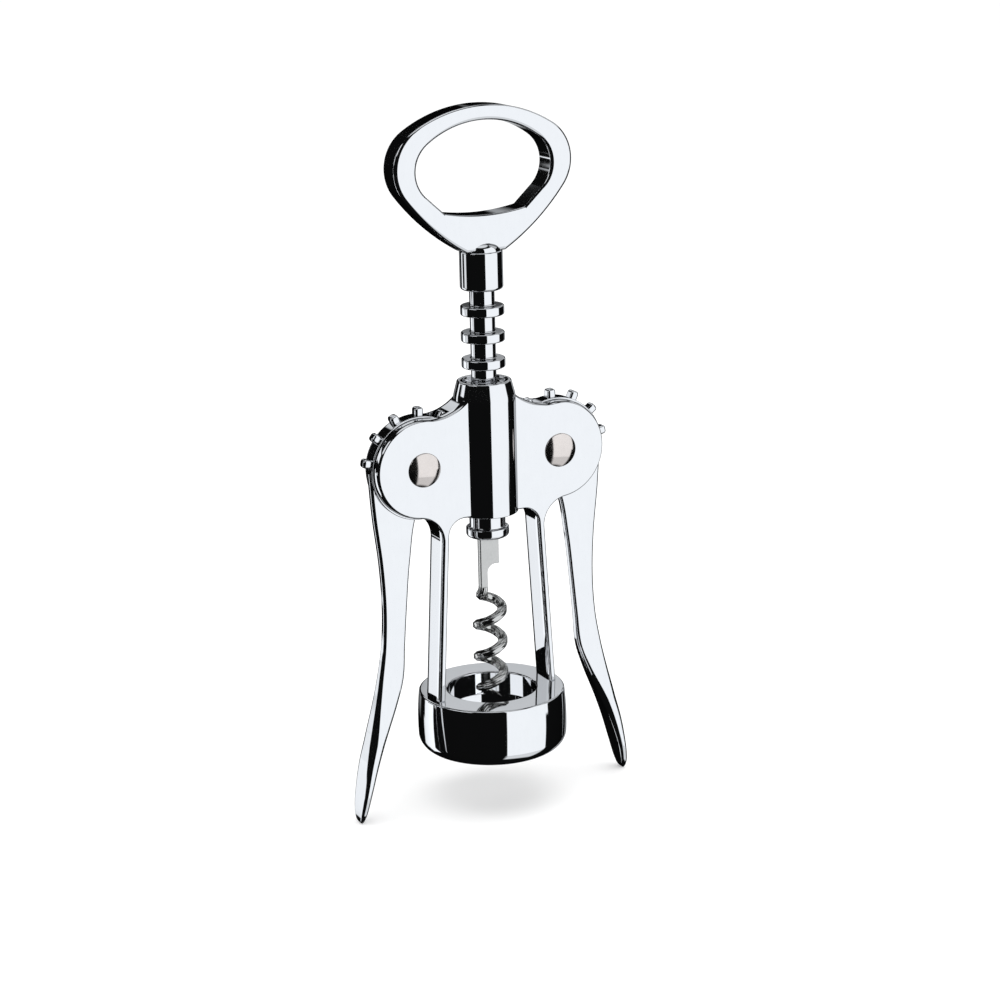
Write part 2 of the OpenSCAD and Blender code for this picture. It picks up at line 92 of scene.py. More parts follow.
def colour(name, about, default):
    """A colour without transparency."""
    return bpy.props.FloatVectorProperty(
        name=name, description=about, default=default, size=3, min=0.0, max=1.0, subtype="COLOR"
    )


def degrees(name, about, default):
    """An angle with a default in degrees, kept in radians."""
    return bpy.props.FloatProperty(
        name=name, description=about, default=np.radians(default), subtype="ANGLE", unit="ROTATION"
    )


class FrameSizes(bpy.types.PropertyGroup):
    """Sizes of the frame: tube, cheeks and straps."""

    pivot_x: length("Pivot distance", "From the spindle's axis to each lever's pivot", 20)
    pivot_z: length("Pivot height", "Height of the pivots above the collar's lower face", 81)
    tube_r: length("Tube radius", "Outer radius of the guide tube", 8.3)
    bore_r: length("Bore radius", "Radius of the tube's bore", 6.15)
    rise: length("Tube rise", "Height of the tube's rim above the pivots", 21)
    drop: length("Tube drop", "Depth of the tube's lower end below the pivots", 15)
    taper: length("Tube taper", "Height over which the tube narrows to its rim", 4.2)
    rim_x: length("Rim radius", "Outer radius of the tube's rim", 7.3)
    rim_r: length("Rim rounding", "Rounding of the tube's rim", 0.5)
    taper_r: length("Taper curve", "Radius of the curve from the tube's side to its taper", 8)
    mouth_r: length("Mouth rounding", "Rounding of the bore's upper edge", 0.3)
    end_r: length("End rounding", "Rounding of the tube's lower end", 0.25)
    half_depth: length("Half depth", "Half of the frame's front to back depth", 4.45)
    half_slot: length("Half slot", "Half width of the slot that the gears turn in", 2.5)
    cheek_r: length("Cheek radius", "Radius of the cheeks' round ends", 13.4)
    pocket_r: length("Pocket radius", "Radius of the room cut for each gear", 16.6)
    shoulder_r: length("Shoulder radius", "Radius of the hollow curve between tube and cheek", 14)
    shoulder_x: length("Shoulder distance", "Distance of that curve's centre from the axis", 16.8)
    root_r: length("Root radius", "Radius of the hollow curve between cheek and strap", 7)
    strap_t: length("Strap thickness", "Thickness of the two straps", 2.2)
    gap_top: length("Upper half gap", "Half gap between the straps at the tube's lower end", 12.8)
    gap_foot: length("Lower half gap", "Half gap between the straps at the collar", 15.6)
    arch_r: length("Arch radius", "Radius of the arch's corners between the straps", 4.3)
    foot_sink: length("Foot sink", "How far the straps' feet go into the collar", 0.4)
    edge_r: length("Edge rounding", "How far the front and back faces' edges are rounded", 0.8)
    edge_d: length("Edge depth", "How deep that rounding reaches along the walls", 1.9)
    buried_x: length("Buried edge", "Where each half ends inside the tube's wall", 6.6)


class CollarSizes(bpy.types.PropertyGroup):
    """Sizes of the collar."""

    radius: length("Radius", "Largest radius of the collar", 20.3)
    height: length("Height", "Height of the collar", 16.2)
    bulge_z: length("Bulge height", "Height at which the side bulges most", 7.3)
    side_r: length("Side radius", "Radius of the bulging side's curve", 78)
    foot_r: length("Foot rounding", "Rounding of the lower edge", 4)
    edge_r: length("Edge rounding", "Rounding of the upper edge", 0.6)
    hole_r: length("Hole radius", "Radius of the hole through the collar's top", 12.1)
    socket_r: length("Socket radius", "Radius of the wider socket below it", 15.2)
    socket_z: length("Socket depth", "Depth of that socket", 9.5)
    hole_edge: length("Hole edge", "Rounding of the hole's upper edge", 0.5)
    step_edge: length("Step edge", "Rounding of the edge from the hole to the socket", 0.2)
    socket_edge: length("Socket corner", "Rounding of the socket's upper corner", 0.4)
    mouth_edge: length("Mouth edge", "Rounding of the socket's lower edge", 0.3)


class LeverSizes(bpy.types.PropertyGroup):
    """Sizes of the levers, their gears and the rivets."""

    root_r: length("Gear radius", "Radius of the gear between its pegs", 13.9)
    tip_r: length("Tip radius", "Radius of the gear at the pegs' tips", 16.1)
    gear_t: length("Gear thickness", "Thickness of the gear", 4.3)
    gear_edge: length("Gear edge", "Rounding of the gear's rim", 0.25)
    bore_edge: length("Bore edge", "Rounding of its hole's edges", 0.1)
    pegs: count("Pegs", "Number of pegs on each gear", 8)
    pitch: degrees("Peg pitch", "Angle from one peg to the next", 27)
    phase: degrees("Peg phase", "Angle of the peg in mesh above the pivots' line", 7)
    peg_w: length("Peg width", "Width of a peg along the rim", 2.4)
    peg_d: length("Peg depth", "Width of a peg from front to back", 3)
    peg_r: length("Peg rounding", "Rounding of the pegs' edges", 0.8)
    peg_sink: length("Peg root", "How far the pegs reach into the gear", 1)
    arm_t: length("Arm thickness", "Thickness of the upper arms", 2.6)
    paddle_w: length("Paddle width", "Front to back width of the thumb paddles", 8)
    arm_r: length("Arm rounding", "Rounding of the arms' edges", 0.9)
    paddle_r: length("Paddle rounding", "Rounding of the paddles' edges", 2.2)
    bore_r: length("Bore radius", "Radius of the gear's hole", 2.8)
    shank_r: length("Shank radius", "Radius of the rivets' shanks", 2.75)
    head_r: length("Head radius", "Radius of the rivets' heads", 4.6)
    dome: length("Dome height", "Height of the rivets' domes", 1.4)
    lip_r: length("Head edge", "Rounding of the heads' edges", 0.34)


class SpindleSizes(bpy.types.PropertyGroup):
    """Sizes of the rack and the ring handle."""

    ring_r: length("Ring radius", "Radius of the rack's rings", 5.8)
    shaft_r: length("Shaft radius", "Radius of the rack between its rings", 3.35)
    core_r: length("Core hole", "Radius of the hole through the rack", 1.95)
    pitch: length("Ring pitch", "Distance from one ring to the next", 6.998)
    ring_t: length("Ring thickness", "Thickness of a ring", 2.6)
    rings: count("Rings", "Number of rings", 8)
    top_ring: length("Top ring", "Height of the top ring's underside", 119.339)
    edge_r: length("Ring rounding", "Rounding of the rings' edges", 0.5)
    groove_r: length("Groove rounding", "Rounding where the rings meet the shaft", 0.25)
    foot_z: length("Rack foot", "Height of the rack's lower end", 66.1)
    foot_r: length("Foot rounding", "Rounding of that end", 0.2)
    play: length("Play", "Gap between the rack and the barrel", 0.1)
    barrel_z: length("Barrel foot", "Height of the barrel's lower end", 126.089)
    barrel_r: length("Barrel radius", "Radius of the barrel", 5.7)
    barrel_l: length("Barrel length", "Length of the barrel up to its dome", 10.2)
    barrel_foot: length("Barrel foot edge", "Rounding of the barrel's lower edge", 0.9)
    barrel_edge: length("Barrel edge", "Rounding of the barrel's upper edge", 0.4)
    dome: length("Dome height", "Height of the barrel's dome, most of it inside the ring", 3.1)
    dome_r: length("Dome radius", "Radius of that dome's foot", 5.25)
    grip_h: length("Grip height", "Height of the ring above the barrel's upper edge", 37.7)
    neck_in: length("Neck inset", "How far the ring's neck stands in from the barrel's side", 0.1)
    grip_t: length("Grip thickness", "Thickness of the ring", 7.4)
    grip_r: length("Grip rounding", "How far the ring's front and back edges are rounded", 1.6)
    grip_d: length("Grip edge depth", "How deep that rounding reaches along its walls", 0.8)
    crown_r: length("Crown radius", "Radius of the outer curve on top", 37.5)
    side_r: length("Side radius", "Radius of the outer curve at the sides", 11.3)
    side_drop: length("Side drop", "Depth from the top to the middle of the sides", 15.4)
    flank_r: length("Flank radius", "Radius of the outer curve down to the barrel", 60)
    band_t: length("Band", "Width of the band at the top", 3.9)
    hole_crown_r: length("Hole crown radius", "Radius of the hole's curve on top", 26.5)
    hole_side_r: length("Hole side radius", "Radius of the hole's curve at the sides", 8.65)
    hole_side_drop: length("Hole side drop", "Depth from the hole's top to its sides", 12.1)
    lip_drop: length("Lip drop", "Depth from the hole's top to its lower lip", 24.2)
    lip_half: length("Lip half width", "Half width of the lower lip", 11.4)
    lip_r: length("Lip radius", "Radius of the lower lip's shallow curve", 57)


class WormSizes(bpy.types.PropertyGroup):
    """Sizes of the spindle's end and the worm."""

    top_z: length("Head top", "Height of the top of the spindle's end", 66)
    head_r: length("Head radius", "Radius of that end above its flange", 4.85)
    head_l: length("Head length", "Length of that end above its flange", 4)
    head_edge: length("Head edge", "Rounding of its upper edge", 0.35)
    neck_r: length("Neck curve", "Radius of the hollow curve down to the flange", 0.4)
    flange_r: length("Flange radius", "Radius of the flange", 5.8)
    flange_t: length("Flange thickness", "Thickness of the flange", 2.8)
    flange_top: length("Flange top edge", "Rounding of the flange's upper edge", 0.5)
    flange_low: length("Flange foot edge", "Rounding of the flange's lower edge", 1.1)
    blade_w: length("Blade width", "Width of the blade", 5.7)
    blade_t: length("Blade thickness", "Thickness of the blade", 2)
    blade_l: length("Blade length", "Length of the full blade below the flange", 8)
    blade_sink: length("Blade root", "How far the blade reaches into the flange", 1)
    blade_edge: length("Blade edge", "How far the blade's faces are rounded", 0.3)
    blade_deep: length("Blade edge depth", "How deep that rounding reaches", 0.7)
    stem_l: length("Stem length", "Length of the narrow stem below it", 7.5)
    stem_w: length("Stem width", "Width of the stem", 2.2)
    notch_r: length("Notch radius", "Radius of the hollow between blade and stem", 2.2)
    helix_r: length("Helix radius", "Radius of the helix's centre line", 3.4)
    wire_r: length("Wire radius", "Radius of the worm's wire", 1.35)
    pitch: length("Helix pitch", "Rise of the helix in one turn", 9)
    point_z: length("Point height", "Height of the worm's point", 12.5)


class FinishValues(bpy.types.PropertyGroup):
    """Colours and polish of the finishes."""

    chrome: colour("Chrome", "Colour of the chrome plate", (0.93, 0.935, 0.95))
    chrome_rough: share("Chrome roughness", "Roughness of the chrome plate", 0.035)
    nickel: colour("Nickel", "Colour of the rivets", (0.87, 0.8, 0.76))
    nickel_rough: share("Nickel roughness", "Roughness of the rivets", 0.12)
    steel: colour("Steel", "Colour of the worm's blade", (0.72, 0.715, 0.7))
    steel_rough: share("Steel roughness", "Roughness of the worm's blade", 0.36)
    wire_rough: share("Wire roughness", "Roughness of the worm's wire", 0.12)
    edge: share("Edge tint", "How much the polish mirrors towards grazing light", 0.35)
    wear: share("Wear", "Strength of the fine polishing marks", 0.5)


class StageValues(bpy.types.PropertyGroup):
    """Camera, floor and surroundings."""

    azimuth: degrees("Azimuth", "Angle of the camera round the object", -26.45)
    elevation: degrees("Elevation", "Angle of the camera above the horizon", 15.75)
    roll: degrees("Roll", "Turn of the camera about its line of sight", -1.34)
    distance: length("Distance", "From the camera to the point it aims at", 639.9)
    aim_side: length("Aim to the side", "The aim's distance from the axis", 3.48)
    aim_z: length("Aim height", "Height of the point that the camera aims at", 68.89)
    lens: bpy.props.FloatProperty(
        name="Lens", description="Focal length on a 36 mm sensor", default=86.4, unit="CAMERA"
    )
    panels: colour("Panels", "Colour of the pale panels that the polish mirrors", (0.94, 0.97, 1.0))
    gloom: share("Gloom", "Brightness of the dark between the panels", 0.004)
    floor: colour("Floor", "Colour of the floor", (0.9, 0.9, 0.9))
    floor_size: length("Floor size", "Half of the floor's side", 4000)
    floor_gap: length("Floor gap", "Gap under the lowest point of the object", 0.2)
    glow: share("Glow", "Light that the floor gives off", 0.13)
    lamp_size: length("Lamp size", "Side of the square lamp overhead", 1200)
    lamp_z: length("Lamp height", "Height of that lamp", 1100)
    lamp_front: length("Lamp distance", "How far that lamp hangs in front of the axis", 200)
    lamp_power: bpy.props.FloatProperty(
        name="Lamp power", description="Power of that lamp", default=6, min=0, unit="POWER"
    )


# Paths ----------------------------------------------------------------------


def unit(v):
    """v divided by its length along the last axis."""
    return v / np.maximum(np.linalg.norm(v, axis=-1, keepdims=True), 1e-12)


def arc_run(centre, radius, start, end, steps, hollow=False):
    """Points centre + radius (cos a, sin a) for a from start to end, in radians.

    The normals point away from the centre, or towards it on a hollow arc."""
    a = np.linspace(start, end, steps + 1)
    n = np.stack([np.cos(a), np.sin(a)], 1)
    return np.asarray(centre) + radius * n, -n if hollow else n


def line_run(p, q, steps=1):
    """Even points from p to q. The normals are its direction turned a quarter turn clockwise."""
    p, q = np.asarray(p, float), np.asarray(q, float)
    d = unit(q - p)
    part = np.linspace(0, 1, steps + 1)[:, None]
    return p + part * (q - p), np.tile([d[1], -d[0]], (steps + 1, 1))


def bearing(p, q):
    """Angle of the way from p to q."""
    return np.arctan2(q[1] - p[1], q[0] - p[0])


def path(*runs):
    """The runs' points and normals, one after the other."""
    return np.concatenate([r[0] for r in runs]), np.concatenate([r[1] for r in runs])


def rounded(corners, steps=6):
    """Closed path round corners (a, b, fillet radius), counter-clockwise.

    At a corner the normal turns evenly from one side's to the next one's, and the point is the
    fillet's centre plus the radius along that normal, or minus it in a hollow corner."""
    c = np.array(corners, float)
    d = unit(np.roll(c[:, :2], -1, 0) - c[:, :2])
    after = np.stack([d[:, 1], -d[:, 0]], 1)
    before = np.roll(after, 1, 0)
    along = np.sum(before * after, 1)
    turn = np.arctan2(before[:, 0] * after[:, 1] - before[:, 1] * after[:, 0], along)
    r = (np.sign(turn) * c[:, 2])[:, None]
    centre = c[:, :2] - r * (before + after) / (1 + along)[:, None]
    start = np.arctan2(before[:, 1], before[:, 0])
    a = start[:, None] + turn[:, None] * np.linspace(0, 1, steps + 1)
    n = np.stack([np.cos(a), np.sin(a)], -1)
    return (centre[:, None] + r[:, None] * n).reshape(-1, 2), n.reshape(-1, 2)


def insets(points, normals):
    """Directions in which a path shrinks evenly: its normals, and at a sharp corner the sum of both
    sides' normals over one plus their product."""
    out = normals.copy()
    for step in (1, -1):
        other = np.roll(normals, step, 0)
        same = np.linalg.norm(points - np.roll(points, step, 0), axis=1) < WELD
        joint = (normals + other) / (1 + np.sum(normals * other, 1, keepdims=True))
        out[same] = joint[same]
    return out


def through(rows, x):
    """Columns of a table at x, by the cubic through its rows whose slope at a row is that of its
    two neighbours."""
    rows = np.asarray(rows, float)
    at, value = rows[:, 0], rows[:, 1:]
    last = len(rows) - 1
    low, high = np.maximum(np.arange(last + 1) - 1, 0), np.minimum(np.arange(last + 1) + 1, last)
    slope = (value[high] - value[low]) / (at[high] - at[low])[:, None]
    i = np.clip(np.searchsorted(at, x, side="right") - 1, 0, last - 1)
    w = (at[i + 1] - at[i])[:, None]
    t = ((x - at[i]) / (at[i + 1] - at[i]))[:, None]
    return (
        (2 * t**3 - 3 * t**2 + 1) * value[i] + (t**3 - 2 * t**2 + t) * w * slope[i]
        + (3 * t**2 - 2 * t**3) * value[i + 1] + (t**3 - t**2) * w * slope[i + 1]
    )


# Surfaces -------------------------------------------------------------------


class Shell:
    """Grids and flat caps, welded into one closed mesh that keeps their normals."""

    def __init__(self):
        self.points, self.normals, self.quads, self.tags, self.caps = [], [], [], [], []
        self.total = 0

    def add(self, points, normals):
        """Takes in a grid of points with their normals, and gives the points' places."""
        points = np.asarray(points, float)
        normals = np.broadcast_to(normals, points.shape)
        index = self.total + np.arange(points[..., 0].size).reshape(points.shape[:-1])
        self.points.append(points.reshape(-1, 3))
        self.normals.append(unit(normals.reshape(-1, 3)))
        self.total += index.size
        return index

    def grid(self, points, normals, wrap_u=False, wrap_v=False, keep=None, tag=0):
        """Quads between neighbours of a grid, joined end to end where it wraps; keep picks some,
        and tag is the place of their material."""
        i = self.add(points, normals)
        i = np.concatenate([i, i[:1]]) if wrap_u else i
        i = np.concatenate([i, i[:, :1]], 1) if wrap_v else i
        quads = np.stack([i[:-1, :-1], i[1:, :-1], i[1:, 1:], i[:-1, 1:]], -1)
        self.quads.append((quads if keep is None else quads[keep]).reshape(-1, 4))
        self.tags.append(np.full(len(self.quads[-1]), tag))

    def cap(self, ring, normal):
        """One flat face inside a ring of points."""
        self.caps.append(self.add(ring, np.asarray(normal, float)))

    def join(self, other, turn=np.eye(3), shift=(0, 0, 0)):
        """The other shell's surfaces as well, turned and then shifted."""
        start = self.total
        self.points += [p @ np.asarray(turn).T + shift for p in other.points]
        self.normals += [n @ np.asarray(turn).T for n in other.normals]
        self.quads += [q + start for q in other.quads]
        self.tags += other.tags
        self.caps += [c + start for c in other.caps]
        self.total += other.total
        return self

    def build(self, name, materials, body, slot, nodes=()):
        """The object, on its body and in its nodes' place; its slot is not used. Points within WELD
        are
        merged: a quad that loses one corner becomes a triangle, and one that loses more goes.
        Each face is turned to agree with its corners' normals."""
        points, normals = np.concatenate(self.points), np.concatenate(self.normals)
        _, first, weld = np.unique(
            np.round(points / WELD).astype(np.int64), axis=0, return_index=True, return_inverse=True
        )
        weld = weld.reshape(-1)
        corners, tags = np.concatenate(self.quads), np.concatenate(self.tags)
        double = weld[corners] == np.roll(weld[corners], -1, 1)
        lost = double.sum(1)
        quads, thirds = corners[lost == 0], corners[lost == 1]
        thirds = thirds[~double[lost == 1]].reshape(-1, 3)
        tags = np.concatenate([tags[lost == 0], tags[lost == 1], np.zeros(len(self.caps), int)])
        faces, shading = [], []
        for group in (quads, thirds):
            if len(group):
                p = points[group]
                opposite = 1 if group.shape[1] == 4 else 0
                flat = np.cross(p[:, -2] - p[:, 0], p[:, -1] - p[:, opposite])
                back = np.sum(flat * normals[group].sum(1), 1) < 0
                group = np.where(back[:, None], group[:, ::-1], group)
                faces += list(weld[group])
                shading.append(normals[group].reshape(-1, 3))
        for ring in self.caps:
            ring = ring[weld[ring] != np.roll(weld[ring], 1)]
            p = points[ring]
            flat = np.cross(p, np.roll(p, -1, 0)).sum(0)
            ring = ring[::-1] if flat @ normals[ring[0]] < 0 else ring
            faces.append(weld[ring])
            shading.append(normals[ring])
        used = np.zeros(len(first), bool)
        used[np.concatenate(faces)] = True
        place = np.cumsum(used) - 1
        faces = [place[face].tolist() for face in faces]
        mesh = bpy.data.meshes.new(name)
        mesh.from_pydata(points[first][used].tolist(), [], faces)
        mesh.polygons.foreach_set("use_smooth", np.ones(len(faces), bool))
        mesh.polygons.foreach_set("material_index", tags.astype(np.int32))
        mesh.normals_split_custom_set(np.concatenate(shading).tolist())
        for material in materials if isinstance(materials, (list, tuple)) else [materials]:
            mesh.materials.append(material)
        piece = bpy.data.objects.new(name, mesh)
        bpy.context.scene.collection.objects.link(piece)
        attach(piece, body)
        if nodes:
            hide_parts(*nodes)
        return piece


def revolve(points, normals, steps=128):
    """Shell of a closed path (radius, height) turned about Z: (r cos a, r sin a, h) for a full
    turn."""
    a = np.linspace(0, 2 * np.pi, steps, endpoint=False)
    turn = np.stack([np.cos(a), np.sin(a)], 1)
    both = [
        np.concatenate([q[:, None, :1] * turn, np.repeat(q[:, None, 1:], steps, 1)], -1)
        for q in (points, normals)
    ]
    shell = Shell()
    shell.grid(*both, wrap_u=True, wrap_v=True)
    return shell


def edge_steps(half, radius, depth, steps):
    """Rounded edges of a slab of thickness 2 half, a quarter of an ellipse: radius is its half
    axis in the plane and depth the one across the slab. For a that turns from the front face to
    the side wall it gives the depth, the inset and the normal's share across and along, (depth cos
    a, -radius sin a) made one long."""
    a = np.linspace(np.pi / 2, 0, steps + 1)
    n = unit(np.stack([depth * np.cos(a), -radius * np.sin(a)], 1))
    return -(half - depth) - depth * np.sin(a), radius * (1 - np.cos(a)), n[:, 0], n[:, 1]


def carried(points, normals, shift, y, inset, across, along):
    """Grid of a path (x, z) at each depth y, moved in by the inset along its shift directions."""
    p = points[None] - inset[:, None, None] * shift[None]
    grid = np.stack([p[..., 0], np.broadcast_to(y[:, None], p.shape[:2]), p[..., 1]], -1)
    n = across[:, None, None] * normals[None]
    return grid, np.stack([n[..., 0], np.broadcast_to(along[:, None], n.shape[:2]), n[..., 1]], -1)


def both_faces(shell, grid, normals, tag=0):
    """The same closed grid in front and, with Y turned round, at the back."""
    flip = np.array([1, -1, 1])
    shell.grid(grid, normals, wrap_v=True, tag=tag)
    shell.grid(grid * flip, normals * flip, wrap_v=True, tag=tag)


def block(half, radius, steps=4):
    """Rounded box: every corner's share of a sphere, moved out to the corner, so that the point is
    sign(n) (half - radius) + radius n for the direction n."""
    low = np.linspace(-np.pi / 2, 0, steps + 1)
    up = np.concatenate([low, low + np.pi / 2])
    turn = np.concatenate([low + np.pi / 2 * (k + 1) for k in range(4)])
    side_up = np.repeat([-1.0, 1.0], steps + 1)[:, None]
    sign = np.repeat([[1, 1], [-1, 1], [-1, -1], [1, -1]], steps + 1, 0)
    n = np.stack([
        np.cos(up)[:, None] * np.cos(turn), np.cos(up)[:, None] * np.sin(turn),
        np.repeat(np.sin(up)[:, None], len(turn), 1),
    ], -1)
    s = np.stack([
        np.broadcast_to(sign[:, 0], n.shape[:2]), np.broadcast_to(sign[:, 1], n.shape[:2]),
        np.broadcast_to(side_up, n.shape[:2]),
    ], -1)
    p = s * (np.asarray(half) - radius) + radius * n
    shell = Shell()
    shell.grid(p, n, wrap_v=True)
    shell.cap(p[0], (0, 0, -1))
    shell.cap(p[-1], (0, 0, 1))
    return shell


def turn_y(angle):
    """Rotation about Y by an angle, positive from Z to X."""
    return np.array([
        [np.cos(angle), 0, np.sin(angle)], [0, 1, 0], [-np.sin(angle), 0, np.cos(angle)]
    ])


ALONG_Y = np.array([[1, 0, 0], [0, 0, -1], [0, 1, 0]])
MIRROR_X = np.diag([-1.0, 1.0, 1.0])


# Materials ------------------------------------------------------------------


def new_group(name, inputs, outputs):
    """An empty node group with inputs (name, default, lowest, highest) and outputs, all floats."""
    tree = bpy.data.node_groups.new(name, "ShaderNodeTree")
    for label, default, low, high in inputs:
        s = tree.interface.new_socket(label, in_out="INPUT", socket_type="NodeSocketFloat")
        s.default_value, s.min_value, s.max_value = default, low, high
    for label in outputs:
        tree.interface.new_socket(label, in_out="OUTPUT", socket_type="NodeSocketFloat")
    return tree, tree.nodes.new("NodeGroupInput"), tree.nodes.new("NodeGroupOutput")


def node(tree, kind, inputs=(), **settings):
    """A node with its settings, and inputs given as (socket, value or output socket)."""
    made = tree.nodes.new(kind)
    for key, value in settings.items():
        setattr(made, key, value)
    for socket, value in inputs:
        if isinstance(value, bpy.types.NodeSocket):
            tree.links.new(value, made.inputs[socket])
        else:
            made.inputs[socket].default_value = value
    return made


def maths(tree, operation, *values, clamp=False):
    """The output of a Math node."""
    made = node(tree, "ShaderNodeMath", enumerate(values), operation=operation, use_clamp=clamp)
    return made.outputs[0]


def polish_marks():
    """Marks of casting and polishing: broad shallow waves, fine grain stretched along one axis, and
    clouds. It puts out a roughness that varies about its input, a height in which the grain has its
    share beside the waves, and a tone from 0 to 1."""
    tree, given, out = new_group(
        "polish_marks",
        [("Roughness", 0.05, 0, 1), ("Variation", 0.3, 0, 1), ("Grain scale", 900.0, 1, 9000),
         ("Stretch", 0.1, 0.001, 1), ("Grain share", 0.1, 0, 10)],
        ["Roughness", "Height", "Tone"],
    )
    wave_scale, cloud_scale, contrast = 110.0, 320.0, 1.4

    def noise(vector, scale, detail):
        inputs = [("Vector", vector), ("Scale", scale), ("Detail", detail)]
        return node(tree, "ShaderNodeTexNoise", inputs).outputs["Fac"]

    where = node(tree, "ShaderNodeTexCoord").outputs["Object"]
    axes = node(tree, "ShaderNodeCombineXYZ", [(0, 1.0), (1, 1.0), (2, given.outputs["Stretch"])])
    along = node(
        tree, "ShaderNodeVectorMath", [(0, where), (1, axes.outputs[0])], operation="MULTIPLY"
    )
    grain = noise(along.outputs[0], given.outputs["Grain scale"], 3.0)
    waves, cloud = noise(where, wave_scale, 1.0), noise(where, cloud_scale, 2.0)
    mixed = maths(tree, "SUBTRACT", maths(tree, "ADD", grain, cloud), 1.0)
    varied = maths(tree, "MULTIPLY_ADD", mixed, given.outputs["Variation"], 1.0)
    rough = maths(tree, "MULTIPLY", varied, given.outputs["Roughness"], clamp=True)
    height = maths(tree, "MULTIPLY_ADD", grain, given.outputs["Grain share"], waves)
    tone = maths(tree, "MULTIPLY_ADD", mixed, contrast, 0.5, clamp=True)
    for label, value in (("Roughness", rough), ("Height", height), ("Tone", tone)):
        tree.links.new(value, out.inputs[label])
    return tree


def metal(name, marks, tint, shade, edge, height, settings):
    """A metal whose roughness, fine relief and tone come from the marks: shade is how much darker
    its darkest spots are, edge its reflection towards grazing light, height the relief's, and the
    settings are the marks' own inputs in their order."""
    material = bpy.data.materials.new(name)
    material.use_nodes = True
    tree = material.node_tree
    shader = tree.nodes["Principled BSDF"]
    shader.inputs["Metallic"].default_value = 1
    shader.inputs["Specular Tint"].default_value = (*(edge,) * 3, 1)
    group = node(tree, "ShaderNodeGroup", node_tree=marks)
    for socket, value in zip(group.inputs, settings):
        socket.default_value = value
    light, dark = (*tint, 1), (*(np.array(tint) * (1 - shade)), 1)
    base = node(
        tree, "ShaderNodeMix", [(0, group.outputs["Tone"]), (6, dark), (7, light)], data_type="RGBA"
    )
    relief = node(
        tree, "ShaderNodeBump",
        [("Height", group.outputs["Height"]), ("Strength", 1.0), ("Distance", height)],
    )
    tree.links.new(base.outputs[2], shader.inputs["Base Color"])
    tree.links.new(group.outputs["Roughness"], shader.inputs["Roughness"])
    tree.links.new(relief.outputs["Normal"], shader.inputs["Normal"])


def finishes(scene):
    """The materials by name, made once."""
    v = scene.corkscrew_finish
    rows = (
        # name, colour, shade, edge, relief's height, roughness; the grain's scale, stretch, share
        ("polished_chrome", v.chrome, 0.02, v.edge, 6e-6, v.chrome_rough, 900, 0.2, 0.02),
        ("rivet_nickel", v.nickel, 0.08, v.edge, 6e-6, v.nickel_rough, 1200, 1.0, 0.05),
        ("satin_steel", v.steel, 0.16, 1.0, 8e-6, v.steel_rough, 2600, 0.6, 0.6),
        ("worm_wire", v.steel, 0.1, v.edge, 6e-6, v.wire_rough, 1500, 0.3, 0.1),
    )
    if rows[0][0] not in bpy.data.materials:
        marks = polish_marks()
        for name, tint, shade, edge, height, rough, *grain in rows:
            metal(name, marks, tint, shade, edge, height, (rough, v.wear, *grain))
    return bpy.data.materials


# Pieces ---------------------------------------------------------------------


